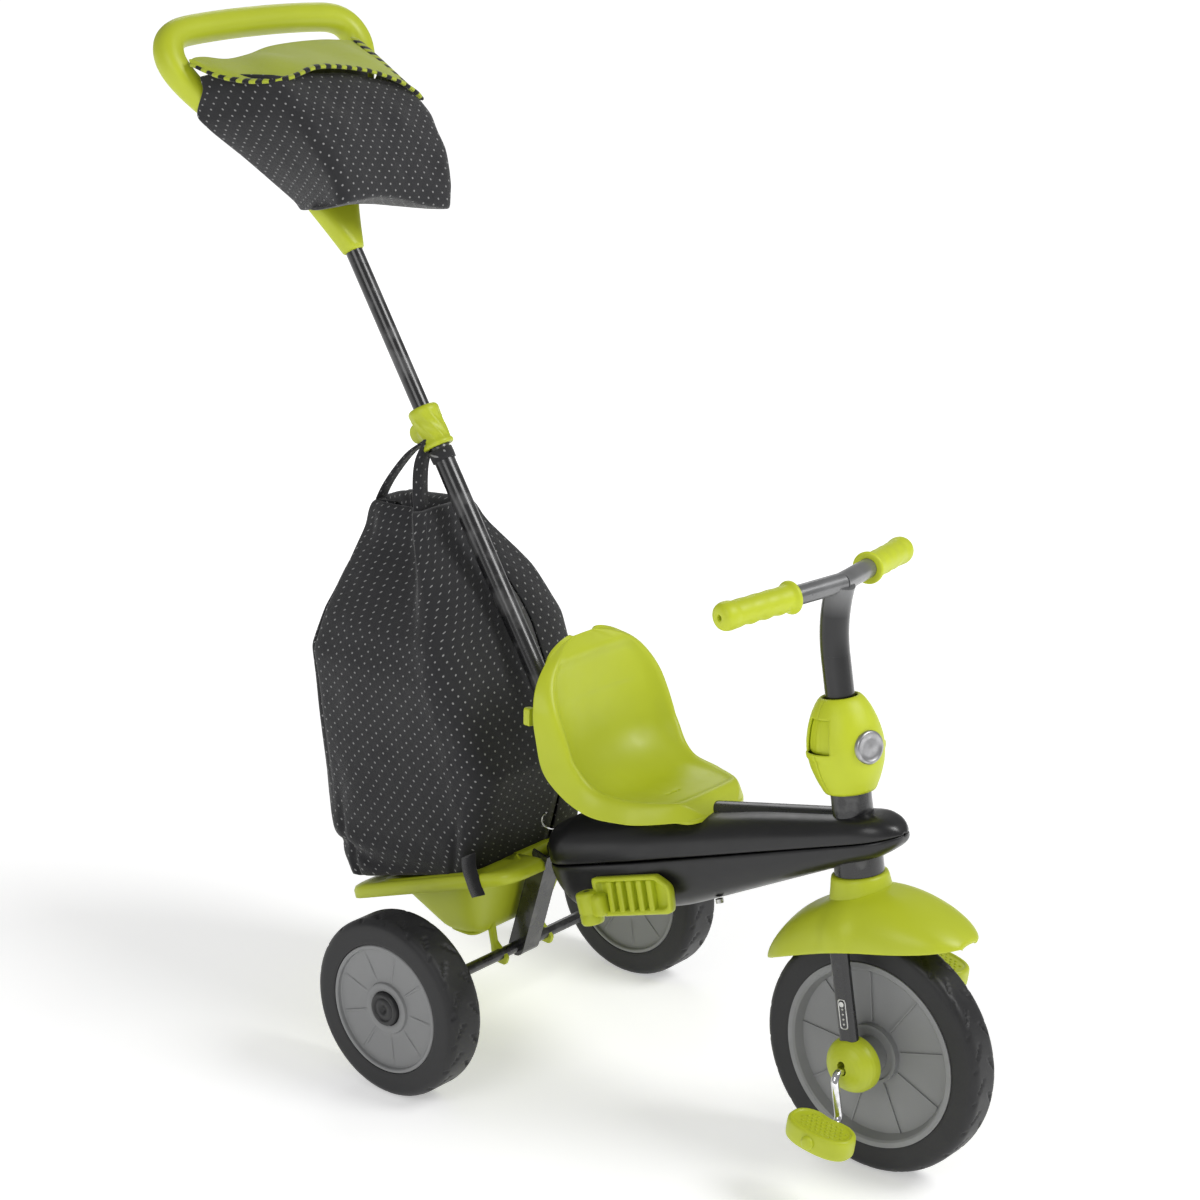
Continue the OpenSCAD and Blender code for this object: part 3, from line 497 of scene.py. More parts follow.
def bar_paint():
    """The handlebar's paint runs from black at the cover to a silvery grey along the crossbar."""
    m = Nodes("handlebar_grey")
    at = m.place()
    z = m.add("ShaderNodeSeparateXYZ", {0: at}).outputs[2]
    low, high = STEER(15, 0, 425).z, STEER(15, 0, 452).z
    fade = m.spread(z, low, high, 0.0, 1.0)
    dust, peel = m.noise(30.0, 4.0, at), m.noise(420.0, 2.0, at)
    grey = m.mix(m.spread(dust, 0.3, 0.7, 0, 1), rgb(0.15, 0.152, 0.155), rgb(0.20, 0.202, 0.205))
    m.put(m.bsdf.inputs["Base Color"], m.mix(fade, rgb(0.012, 0.012, 0.013), grey))
    m.put(m.bsdf.inputs["Roughness"], m.spread(dust, 0.3, 0.7, 0.26, 0.36))
    m.put(m.bsdf.inputs["Normal"], m.bump(peel, 0.1, 0.0003))
    m.bsdf.inputs["Metallic"].default_value = 0.35
    m.bsdf.inputs["Coat Weight"].default_value = 0.4
    m.bsdf.inputs["Coat Roughness"].default_value = 0.12
    return m.mat


M["bar"] = bar_paint()


def dress(ob, mat, *more):
    ob.data.materials.clear()
    for key in (mat,) + more:
        ob.data.materials.append(M[key])
    return ob


def finish_piece(ob, mat, body, replaces=()):
    dress(ob, mat)
    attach(ob, body)
    if replaces:
        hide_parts(*replaces)
    return ob


# ---- CAD nodes that stay, with their finish ----

for node, key in {
        "main_frame": "tube", "rear_leg": "tube", "rear_axle": "tube", "axle_washers": "steel",
        "body_screws": "steel", "seat_bolts": "steel", "upper_headset_bush": "black",
        "lower_headset_cup": "tube", "handlebar": "bar", "fork": "tube", "fork_rivets": "steel",
        "pedal_crank": "chrome", "lower_pole": "tube", "upper_pole": "tube",
        "footrest_pins": "steel", "pole_lock_knob": "black", "knob_ring": "chrome",
        "left_front_rim": "grey", "right_front_rim": "grey", "left_hub_cover": "lime",
        "right_hub_cover": "lime"}.items():
    dress(frame["nodes"][node], key)


# ---- Seat ----

SEAT = dict(lip=(-199, 325.5), pitch=math.radians(8), turn=math.radians(88), floor=88, bend=62, back=92)
SEAT_ARC = SEAT["bend"] * SEAT["turn"]
SEAT_LEN = SEAT["floor"] + SEAT_ARC + SEAT["back"]
SEAT_RISE = [(0, 0), (50, 4), (88, 13), (112, 29), (135, 42), (180, 46), (215, 29), (245, 12), (275, 2)]
SEAT_SKIRT = [(0, 17), (30, 20), (88, 26), (135, 46), (180, 48), (215, 31), (245, 15), (275, 9)]


def seat_line(s):
    p, r = SEAT["pitch"], SEAT["bend"]
    fl, bk = min(s, SEAT["floor"]), max(0, s - SEAT["floor"] - SEAT_ARC)
    a = SEAT["turn"] * min(1, max(0, (s - SEAT["floor"]) / SEAT_ARC)) - p
    return (SEAT["lip"][0] - fl * math.cos(p) - r * (math.sin(a) + math.sin(p)) - bk * math.cos(a),
            SEAT["lip"][1] - fl * math.sin(p) + r * (math.cos(p) - math.cos(a)) + bk * math.sin(a), a)


def soft_table(x, rows, spread=9):
    return (table(x - spread, rows) + 2 * table(x, rows) + table(x + spread, rows)) / 4


def seat_width(s):
    """Half-width of the bucket along its path, in millimetres."""
    if s < 60:
        return 98 * (0.20 + 0.63 * (max(0, s) / 60) ** 0.42)
    if s < 200:
        return 98 * (1 - 0.17 * ((150 - min(s, 150)) / 90) ** 1.3)
    return 98 * max(0.01, 1 - ((min(s, SEAT_LEN - 0.3) - 200) / 76) ** 2.3) ** 0.5


def seat_point(s, v):
    x, z, a = seat_line(s)
    ends = min(1, s / 17, (SEAT_LEN - s) / 20)
    edge = max(0, 1 - math.hypot(1 - ends, max(0, 1 - (1 - abs(v)) / 0.17)))
    h = soft_table(s, SEAT_RISE) * abs(v) ** 2.6
    h -= soft_table(s, SEAT_SKIRT, 18) * (1 - edge) ** 1.8
    e = min(s / 24, (SEAT_LEN - s) / 24, (1 - abs(v)) / 0.25)
    h += 3.2 * (1 - smooth(e, 0.72, 1.12))
    h += 0.7 * smooth(s, 213, 216) * (1 - smooth(abs(v), 0.5, 0.62))
    return TRIKE(x + h * math.sin(a), seat_width(s) * v, z + h * math.cos(a))


def make_seat():
    s = sorted({round(SEAT_LEN * (0.5 - 0.5 * math.cos(PI * i / 46)), 2) for i in range(47)}
               | {52.0, 55.0, 213.0, 216.0})
    v = sorted({round(math.sin(PI / 2 * (2 * j / 36 - 1)), 4) for j in range(37)}
               | {-0.24, -0.13, -0.09, 0.02})
    rows = [[seat_point(a, b) for b in v] for a in s]

    def slot_hole(i, j):
        mid = (v[j] + v[j + 1]) / 2
        return 52.0 <= s[i] < 55.0 and (-0.24 < mid < -0.13 or -0.09 < mid < 0.02)

    seat = grid("seat_bucket", rows, skip=slot_hole)
    solidify(seat, 3.6, -1.0)
    subdivide(seat)
    finish_piece(seat, "lime", "chassis", ["seat"])
    lug = plate("seat_rear_lug", lambda x, y, z: TRIKE(-370 + z, -86 + y, 388 + x),
                rounded([(-9, -5), (10, -5), (8, 6), (-10, 6)], 3), -7, 1, 1.2)
    finish_piece(lug, "lime", "chassis")


make_seat()


# ---- Body shells ----

BODY_TOP = [(0, 0.2), (2, 8), (10, 14.5), (24, 20.5), (67, 23.5), (150, 31), (300, 38), (380, 41.5), (412, 34), (428, 8)]
BODY_LOW = [(0, -0.2), (2, -5), (8, -9), (24, -15.5), (70, -22), (180, -40), (262, -53.5), (392, -51.5), (428, -4)]


def body_half(s):
    if s < 46:
        return 29 * math.sqrt(max(0, 1 - ((46 - s) / 46) ** 2))
    if s < 300:
        return 29 + 19 * (s - 46) / 254
    if s < 382:
        return 48
    return 48 * math.sqrt(max(0, 1 - ((s - 382) / 46) ** 2))


def body_skin(name, upper):
    s = sorted({round(0.05 + 45.6 * (1 - math.cos(PI / 2 * i / 9)), 2) for i in range(10)}
               | set(range(60, 381, 16)) | {round(382 + 45.4 * math.sin(PI / 2 * i / 9), 2) for i in range(10)})
    rows = []
    for d in s:
        w, top = max(0.05, body_half(d)), table(d, BODY_TOP if upper else BODY_LOW)
        row = []
        for k in range(25):
            a = PI * k / 24
            row.append(BODY(-d, w * spow(math.cos(a), 0.62), (0.15 if upper else -0.15)
                            + (top - (0.15 if upper else -0.15)) * math.sin(a) ** 0.62))
        rows.append(row if upper else row[::-1])
    ob = grid(name, rows)
    solidify(ob, 2.6, -1.0)
    subdivide(ob)
    return ob


finish_piece(body_skin("upper_shell", True), "gloss_black", "chassis", ["body_upper_shell"])
finish_piece(body_skin("lower_shell", False), "gloss_black", "chassis", ["body_lower_shell"])


def make_pedestal():
    """The raised block on the upper shell that carries the seat."""
    x0, z0 = seat_line(SEAT["floor"])[:2]
    p = SEAT["pitch"]

    def at(f, y, u):
        return TRIKE(x0 + f * math.cos(p) - u * math.sin(p), y, z0 + f * math.sin(p) + u * math.cos(p))

    rows = []
    for inset, u in ((-7, -44), (-3, -24), (0, -12), (0.8, -7.5), (3, -5.2), (7, -4.6)):
        out = rounded([(-32 + inset, -31 + inset), (74 - inset, -31 + inset), (74 - inset, 31 - inset),
                       (-32 + inset, 31 - inset)], max(2, 9 - inset))
        rows.append([at(x, y, u) for x, y in out])
    ob = loft("seat_pedestal", rows)
    finish_piece(ob, "gloss_black", "chassis")


make_pedestal()

for side in (-1, 1):
    ear = plate(f"footrest_ear_{'left' if side > 0 else 'right'}",
                lambda x, y, z, side=side: BODY(x, side * y, z),
                rounded([(-360, 46), (-344, 46), (-344, 68), (-360, 68)], 7), -43.4, -36.6, 0.8)
    finish_piece(ear, "gloss_black", "chassis")


# ---- Front fender ----

FEND = (-108, 115)


def fender_point(q, a):
    x = lerp(FEND[0], FEND[1], q)
    edge = 84 + 30 * math.sin(PI / 2 * min(1, q * 1.5)) ** 0.8 + 2 * q
    crest = 84 + 32 * q + 62 * math.sin(PI * min(1, max(0, q)) ** 0.92) ** 0.75
    w = 48 * max(0, 1 - abs(2 * q - 1) ** 2.4) ** 0.5 + 4.5
    leg = math.exp(-((x / 15.5) ** 4))
    out = max(0, math.cos(a) ** 2 - 0.15) / 0.85
    y = w * spow(math.cos(a), 0.86) + math.copysign((4.6 + 2.6 * math.sin(2 * a) ** 2) * leg * out, math.cos(a))
    z = edge + 1.5 * leg * out ** 2 + max(1.5, crest - edge) * math.sin(a) ** 0.9
    pinch = 5 * math.exp(-((x + 32) / 16) ** 2) * math.sin(a) ** 6
    return STEER(x, y, z - pinch)


def make_fender():
    q = [0.5 - 0.5 * math.cos(PI * i / 52) for i in range(53)]
    rows = [[fender_point(max(0.004, min(0.996, t)), PI * j / 36) for j in range(37)] for t in q]
    ob = grid("fender_dome", [r[::-1] for r in rows])
    solidify(ob, 2.6, -1.0)
    subdivide(ob)
    finish_piece(ob, "lime", "fork_group", ["front_fender"])
    neck = [(40, 132), (36.5, 139), (33.6, 146), (31.2, 155), (29.2, 165), (28, 173), (27, 175.8),
            (25, 176.3), (12, 176.3)]
    collar = lathe("fender_neck", STEER, neck, 72)
    solidify(collar, 2.4, -1.0)
    finish_piece(collar, "lime", "fork_group")


make_fender()


# ---- Headset cover, badge and the clutch windows ----

COVER_TURN = math.radians(-16)
COVER = [(24.3, 257.4), (25.4, 258.4), (26.8, 262), (29.7, 268), (32.3, 275), (34.6, 282), (36, 289), (36.75, 296),
         (36.8, 303), (36.1, 310), (34.6, 317), (32.8, 324), (30.6, 330), (27.9, 336.5), (24.8, 342), (22.4, 345.5),
         (19.8, 348.2), (17.6, 349), (16.6, 348), (16.4, 345)]


def cover_radius(z):
    return float(np.interp(z, [p[1] for p in COVER[:17]], [p[0] for p in COVER[:17]]))


def make_cover():
    heights = sorted(set(np.linspace(257.4, 348.2, 40).round(2)) | {299.0, 300.5, 332.0, 333.5})
    steps = 96
    turn = COVER_TURN
    for name, node, front in (("cover_front", "headset_cover_front", True),
                              ("cover_rear", "headset_cover_rear", False)):
        angles = [2 * PI * (k / steps) - PI / 2 for k in range(steps + 1)]
        span = angles[:steps // 2 + 1] if front else angles[steps // 2:]
        span = [span[0] + 0.003] + span[1:-1] + [span[-1] - 0.003]
        rows = []
        for z in heights:
            r = cover_radius(z)
            row = []
            for a in span:
                side = abs(abs(a) % PI - PI / 2)
                lip = 1.6 * (1 - smooth(abs(side), 0.50, 0.62)) * (1 - smooth(abs(z - 297.2), 2.2, 4.2))
                row.append(STEER((r + lip) * math.cos(a + turn), (r + lip) * math.sin(a + turn), z))
            rows.append(row)
        for r, z in COVER[17:]:
            rows.append([STEER(r * math.cos(a + turn), r * math.sin(a + turn), z) for a in span])

        def window(i, j):
            z = (heights[i] + heights[min(i + 1, len(heights) - 1)]) / 2 if i < len(heights) - 1 else 999
            side = abs(abs((span[j] + span[j + 1]) / 2) % PI - PI / 2)
            return 300.5 < z < 332 and side < 0.47

        ob = grid(name, rows, skip=window)
        solidify(ob, 2.2, -1.0)
        finish_piece(ob, "soft_lime", "chassis", [node])


make_cover()


def make_badge():
    """A plain disc with a raised ring, turned with the cover."""
    rot = Matrix.Rotation(COVER_TURN, 4, STEER.z)
    centre = STEER(0, 0, 303)

    def at(r, a, out):
        p = STEER(32.6 + out, r * math.cos(a), 303 + r * math.sin(a) * 1.0)
        return centre + (rot.to_3x3() @ (p - centre))

    profile = [(16, 0.2), (16, 3.8), (15.2, 5.0), (13.6, 5.5), (12.6, 5.2), (12, 4.6), (8, 4.8), (0.05, 5.2)]
    rows = [[at(r, 2 * PI * k / 48, o) for k in range(48)] for r, o in profile]
    ob = loft("cover_badge", rows, caps=False)
    finish_piece(ob, "silver", "chassis", ["headset_badge"])


make_badge()


def make_clutch():
    """The fluted ring seen through the cover's side windows."""
    heights = [299.4, 300.2] + list(np.linspace(302, 329.5, 12)) + [331.2, 332]
    prof = [(cover_radius(z) - 7, z) for z in (299.4, 299.5)]
    prof += [(cover_radius(z) - 4.1, z) for z in heights] + [(cover_radius(332) - 7, 332)]

    def flutes(a, r, z):
        return r + 1.15 * max(0, math.cos(12 * (a - COVER_TURN))) ** 0.7 * smooth(z, 299.5, 302) * (
            1 - smooth(z, 328, 332))

    ob = lathe("clutch_sleeve", STEER, prof, 288, swell=flutes)
    finish_piece(ob, "soft_lime", "clutch", ["clutch_ring"])


make_clutch()


# ---- Grips ----

SWEEP = math.radians(11.4)
BAR_HALF = 296 / 2 / math.cos(SWEEP) - 4


def make_grip(name, side, node):
    along = STEER.y * math.cos(SWEEP) - STEER.x * math.sin(SWEEP)
    along = Vector((along.x, side * along.y, along.z))
    base = STEER(15.6, 0, 457)
    down = -STEER.z
    fwd = along.cross(down).normalized()
    down = fwd.cross(along).normalized()
    if down.dot(STEER.z) > 0:
        down, fwd = -down, -fwd
    end = BAR_HALF
    prof = [(9.7, 62), (14.2, 62), (15.6, 62.8), (16, 64.5), (15.7, 66.5), (14.4, 68), (13.2, 69.6), (12.7, 72)]
    n = 22
    prof += [(None, lerp(74, end - 12, i / n)) for i in range(n + 1)]
    prof += [(13.6, end - 9), (13.9, end - 5), (13.5, end - 1), (12.2, end + 2.2), (9.8, end + 4), (6.5, end + 4.8),
             (3.2, end + 4.9), (2.6, end + 4.2), (2.5, end - 6)]
    rows = []
    for r, t in prof:
        row = []
        for k in range(40):
            a = 2 * PI * k / 40
            if r is None:
                wave = math.cos(2 * PI * (t - 72) / 17.5)
                under = max(0, math.cos(a)) ** 1.2
                q = 12.5 + 0.25 * math.cos(2 * PI * (t - 72) / 17.5) - 0.95 * wave * under + 0.3 * under
            else:
                q = r
            row.append(base + (along * t + down * (q * math.cos(a)) + fwd * (q * math.sin(a))) / 1000)
        rows.append(row if side < 0 else row[::-1])
    ob = grid(name, rows, close_v=True)
    subdivide(ob)
    finish_piece(ob, "soft_lime", "handlebar_group", [node])
    # A near-black disc inside the grip's end hole: painted shade standing in for the dark inside of the hole.
    hole_shade_disc = lathe_along(name + "_end", base, along, [(2.55, end - 5), (0.02, end - 5)], 16)
    finish_piece(hole_shade_disc, "dark", "handlebar_group")


def lathe_along(name, base, along, profile, steps):
    side = along.cross(Vector((0, 0, 1))).normalized()
    over = along.cross(side)
    turns = [2 * PI * k / steps for k in range(steps)]
    rows = [[base + (along * h + side * (r * math.cos(a)) + over * (r * math.sin(a))) / 1000 for a in turns]
            for r, h in profile]
    return grid(name, rows, close_v=True)


make_grip("grip_left", 1, "left_grip")
make_grip("grip_right", -1, "right_grip")


# ---- Tyres ----

def make_tyre(name, node, body, centre, r, w, seat_r, flange_r, blocks):
    """Foam tyre: flat walls, rounded shoulders and a slightly crowned tread with short slanting grooves."""
    hub = Axes(centre, (0, 0, 1))
    prof = [(seat_r, -w / 2 + 6), (flange_r, -w / 2 + 6), (flange_r + 0.2, -w / 2 + 0.4), (flange_r + 1.6, -w / 2)]
    prof += [(lerp(flange_r + 4, r - 11, i / 3), -w / 2) for i in range(4)]
    prof += [(r - 9 + 9 * math.sin(a), -w / 2 + 9 - 9 * math.cos(a)) for a in np.linspace(0.15, PI / 2, 9)]
    flat = [(r, lerp(-w / 2 + 9, w / 2 - 9, i / 8)) for i in range(1, 8)]
    prof = prof + flat + [(q, -y) for q, y in reversed(prof)]
    steps = 24 * blocks

    def groove(a, q, y):
        if q < r - 8.5:
            return q
        side = 1 if y > 0 else -1
        across = abs(y) / (w / 2)
        turn = a / (2 * PI) * blocks
        slit = 1 - smooth(abs((turn + (0.5 if side > 0 else 0) + across * 0.9) % 1 - 0.5), 0.035, 0.085)
        cut = slit * smooth(across, 0.22, 0.3) * (1 - smooth(across, 0.62, 0.72))
        nick = 1 - smooth(abs((turn + 0.35 - side * across * 0.7) % 1 - 0.5), 0.03, 0.075)
        cut = max(cut, 0.8 * nick * smooth(across, 0.68, 0.74) * (1 - smooth(across, 0.86, 0.92)))
        return q - 1.8 * cut

    ob = lathe(name, hub, prof, steps, axis="y", swell=groove, closed=True)
    autosmooth(ob, 50)
    finish_piece(ob, "foam", body, [node])


make_tyre("tyre_front", "front_tyre", "front_wheel", FRONT_AXLE, 120, 39, 84, 93.2, 22)
make_tyre("tyre_rear_left", "left_rear_tyre", "left_rear_wheel", REAR_AXLE, 93, 46, 58, 67.2, 18)
make_tyre("tyre_rear_right", "right_rear_tyre", "right_rear_wheel",
          Vector((REAR_AXLE.x, -REAR_AXLE.y, REAR_AXLE.z)), 93, 46, 58, 67.2, 18)


# ---- Rear rims: a broad shallow disc with faint ribs, and the cap over the axle's end ----

def make_rim(name, nodes, body, side):
    hub = Axes((REAR_AXLE.x, side * abs(REAR_AXLE.y), REAR_AXLE.z), (0, 0, 1))
    prof = [(66.8, 17), (66.8, 22.2), (66, 23.1), (63.8, 23.2), (62.8, 22.4), (62.2, 19.4), (60.8, 18.6)]
    prof += [(lerp(60, 30, i / 12), lerp(18.5, 16.6, i / 12)) for i in range(13)]
    prof += [(27, 16.9), (26, 19.4), (25, 19.9), (19, 19.9), (18, 19.2), (17.6, 15)]
    for face in (1, -1):
        rows = []
        for r, h in prof:
            row = []
            for k in range(360):
                a = 2 * PI * k / 360
                near = abs((a * 9 / (2 * PI) + 0.5) % 1 - 0.5) * 2 * PI / 9 * r
                rib = 1.1 * (1 - smooth(near, 0.7, 1.5)) * smooth(r, 29, 33) * (1 - smooth(r, 57, 60.5))
                row.append(hub(r * math.cos(a), face * side * (h + rib), r * math.sin(a)))
            rows.append(row if face * side > 0 else row[::-1])
        piece = grid(f"{name}_{'outer' if face > 0 else 'inner'}", rows, close_v=True)
        autosmooth(piece, 35)
        finish_piece(piece, "grey", body, [nodes[0 if face > 0 else 1]])
    cap = [(17.2, 14), (17.2, 21.6), (16.2, 23.2), (14, 23.6), (12.4, 23.2), (12, 22.3), (11.2, 22.3), (10.8, 23.1),
           (5, 23.4), (4.4, 22.4), (3.2, 22.4), (3, 21), (0.05, 21)]
    cap_piece = lathe(name + "_cap", hub, [(r, side * h) for r, h in cap], 64, axis="y")
    if side > 0:
        cap_piece.data.flip_normals()
    finish_piece(cap_piece, "black", body, [nodes[2]])


for word, sign in (("left", 1), ("right", -1)):
    make_rim(f"rear_rim_{word}", [f"{word}_rear_rim_outer", f"{word}_rear_rim_inner", f"{word}_hub_cap"],
             f"{word}_rear_wheel", sign)


# ---- Pedals ----

PEDAL_SECTION = ((0, 0), (0, 7.2), (0.7, 9.4), (2.2, 10.7), (4.2, 11), (5.0, 10.4), (5.6, 9.2), (12, 9.1))
PEDAL_BOSS = ((6.8, 122), (6.8, 129.4), (6.0, 130.8), (4.2, 131.6), (0.05, 131.8))


def make_pedal(name, node, body, side, height, tilt):
    tilt = math.radians(tilt)
    outline = []
    for k in range(56):
        a = 2 * PI * k / 56
        x, y = 35 * spow(math.cos(a), 0.86), 21.3 * spow(math.sin(a), 0.8)
        if y < 0:
            y += 4.5 * math.exp(-(x / 12) ** 2)
        outline.append((x, y))

    def at(x, y, z):
        c, s = math.cos(tilt), math.sin(tilt)
        return STEER(x * c + z * s, side * (107 + y), height - x * s + z * c)

    def layer(inset, z):
        return [at(x * (1 - inset / 35), y * (1 - inset / 21.5), z) for x, y in outline]

    rows = [layer(inset, -z) for inset, z in reversed(PEDAL_SECTION)][:-1]
    rows += [layer(inset, z) for inset, z in PEDAL_SECTION]
    if side < 0:
        rows = [r[::-1] for r in rows]
    ob = loft(name, rows)
    subdivide(ob)
    finish_piece(ob, "lime", body, [node])
    verts, faces = [], []
    for face in (1, -1):
        for i in range(-4, 5):
            for j in range(-3, 4):
                x, y = i * 5.4 + (2.7 if j % 2 else 0), j * 4.8
                if (x / 27) ** 2 + (y / 14.5) ** 2 > 1:
                    continue
                first = len(verts)
                for r, h in ((1.5, 0), (1.35, 0.8), (0.8, 1.2), (0.05, 1.3)):
                    verts += [at(x + r * math.cos(2 * PI * k / 10), y + r * math.sin(2 * PI * k / 10), face * (9.0 + h))
                              for k in range(10)]
                faces += grid_faces(4, 10, True, first)
    studs = mesh_object(name + "_studs", verts, faces)
    finish_piece(studs, "lime", body)
    boss = lathe(name + "_boss", Axes(STEER(0, 0, height), STEER.z),
                 [(r, side * h) for r, h in PEDAL_BOSS], 40, "y")
    finish_piece(boss, "lime", body)


make_pedal("pedal_right", "right_pedal", "right_pedal_block", -1, -47, 18)
make_pedal("pedal_left", "left_pedal", "left_pedal_block", 1, 47, 18)


# ---- Footrests ----

def make_footrest(name, node, body, side):
    def at(x, y, z):
        return BODY(x, side * y, z)

    rows = []
    outer = rounded([(-346, -52), (-250, -52), (-246, -24), (-262, -12), (-346, -12)], [5, 9, 12, 10, 4])
    centre = np.array(outer).mean(0)

    def ring(inset, y):
        return [at(*(lambda q: (q[0], y, q[1]))(centre + (np.array(p) - centre) * (1 - inset / np.array([50, 20]))))
                for p in outer]

    for inset, y in ((3, 50.6), (0.8, 51), (0, 52.4), (0, 58), (0.8, 59.4), (2.4, 60), (4.2, 59.8), (5, 58.8),
                     (5.4, 53.2), (8, 53)):
        rows.append(ring(inset, y))
    if side > 0:
        rows = [r[::-1] for r in rows]
    panel = loft(name, rows)
    finish_piece(panel, "lime", body, [node])
    ribs = []
    for k in range(5):
        x0 = -329 + 13 * k
        rib = plate(f"{name}_rib{k}", lambda x, y, z, side=side: BODY(x, side * z, y),
                    rounded([(x0, -48), (x0 + 6.5, -48), (x0 + 9.5, -16), (x0 + 3, -16)], 2.4), 52, 60.4, 1.6)
        finish_piece(rib, "lime", body)
    knuckle = [(8.2, -58), (10.4, -57.4), (11.8, -55), (11.8, -47.6), (11.2, -46.6), (11.2, -45.8), (11.8, -44.8),
               (11.8, -27), (10.8, -24.8), (8.5, -24), (3.2, -24)]
    hinge = lathe(f"{name}_knuckle", through(BODY.z, BODY(-352, side * 62, 0), (0, 0, 0)), [(3.2, -58)] + knuckle, 48)
    finish_piece(hinge, "lime", body)
    web = plate(f"{name}_web", lambda x, y, z, side=side: BODY(x, side * z, y),
                rounded([(-352, -52), (-331, -50), (-331, -28), (-352, -26)], 6), 51.5, 69.5, 6)
    finish_piece(web, "lime", body)


make_footrest("footrest_right", "right_footrest", "right_rest", -1)
make_footrest("footrest_left", "left_footrest", "left_rest", 1)


# ---- Basket ----

def make_basket():
    top = rounded([(52, -92), (172, -92), (172, 92), (52, 92)], [26, 34, 34, 26], 8)
    low = rounded([(-500, -66), (-460, -66), (-460, 66), (-500, 66)], [14, 19, 19, 14], 8)
    tops, lows = [BASKET(x, y, 1) for x, y in top], [TRIKE(x, y, 116) for x, y in low]
    centre = TRIKE(-479, 0, 116)
    rows = [[p.lerp(q, t) for p, q in zip(tops, lows)] for t in (0, 0.2, 0.4, 0.6, 0.78, 0.9)]
    for t, inward, lift in ((0.97, 0.03, 1.2), (1, 0.1, 0.3), (1, 0.24, 0), (1, 0.6, 0)):
        rows.append([p.lerp(q, t) + (centre - q) * inward + TRIKE.z * (lift / 1000) for p, q in zip(tops, lows)])
    tub = grid("basket_tub", [r[::-1] for r in rows], close_v=True)
    solidify(tub, 2.6, -1.0)
    subdivide(tub)
    finish_piece(tub, "lime", "chassis", ["basket"])
    floor_plate = plate("basket_floor", lambda x, y, z: TRIKE(x, y, z),
                        rounded([(-498, -64), (-462, -64), (-462, 64), (-498, 64)], 12), 116, 119, 1)
    finish_piece(floor_plate, "lime", "chassis")

    outer = rounded([(0, -106), (236, -106), (236, -53), (182, -30), (182, 30), (236, 53), (236, 106), (0, 106)],
                    [24, 44, 10, 8, 8, 10, 44, 24], 9)
    inner = rounded([(54, -90), (170, -90), (170, -50), (170, -24), (170, 24), (170, 50), (170, 90), (54, 90)],
                    [24, 30, 4, 4, 4, 4, 30, 24], 9)
    section = [(0.0, -6.5), (0.0, 0.5), (0.03, 3.2), (0.12, 4.6), (0.3, 4.9), (0.42, 4.2), (0.5, 3.4), (0.62, 3.4),
               (0.75, 4.6), (0.88, 5.2), (0.97, 4.2), (1.0, 1.5), (1.0, -3.0)]
    rows = [[BASKET(lerp(p[0], q[0], t), lerp(p[1], q[1], t), z) for p, q in zip(outer, inner)] for t, z in section]
    rim = grid("basket_rim", [r[::-1] for r in rows], close_v=True)
    solidify(rim, 2.2, -1.0)
    finish_piece(rim, "lime", "chassis")
    for side in (-1, 1):
        hook = plate(f"basket_hook_{'left' if side > 0 else 'right'}",
                     lambda x, y, z, side=side: TRIKE(-447 + x, side * 36 + z, 93 + y),
                     rounded([(-20, 34), (-13, 6), (-11, -10), (7, -11), (10, -2), (-7, 12), (-12, 36)], 4),
                     -2.4, 2.4, 1)
        finish_piece(hook, "lime", "chassis")


make_basket()


# ---- Pole, collar and push handle ----

def make_collar():
    prof = [(11.6, 0), (15.8, 0), (17, 1.2), (17, 4.2), (15.6, 6), (14.9, 9), (14.7, 20), (15, 33), (16.2, 36.2),
            (16.6, 38), (16.4, 41), (15.2, 43), (13.8, 44), (9.4, 44)]
    fine = []
    for (r0, z0), (r1, z1) in zip(prof, prof[1:]):
        fine += [(r0, z0)] if z1 - z0 < 6 else [(lerp(r0, r1, k / 4), lerp(z0, z1, k / 4)) for k in range(4)]
    fine.append(prof[-1])

    def ribs(a, r, h):
        if not 5 < h < 36:
            return r
        k = math.cos(10 * (a + (h - 20) * 0.035))
        return r + 1.5 * max(0, k) ** 2 * smooth(h, 5, 9) * (1 - smooth(h, 32, 36))

    base = through(POLE.z, POLE(0, 0, 426), (0, 0, 0))
    ob = lathe("collar_sleeve", base, fine, 120, swell=ribs)
    solidify(ob, 0.8, -1.0)
    finish_piece(ob, "lime", "collar", ["pole_collar"])
    lobe = plate("collar_lobe", lambda x, y, z: base(-15 + x, z, 22 + y),
                 [(11 * spow(math.cos(2 * PI * k / 36), 0.9), 10.5 * spow(math.sin(2 * PI * k / 36), 0.9))
                  for k in range(36)], -7.5, 7.5, 3)
    finish_piece(lobe, "lime", "collar")


make_collar()


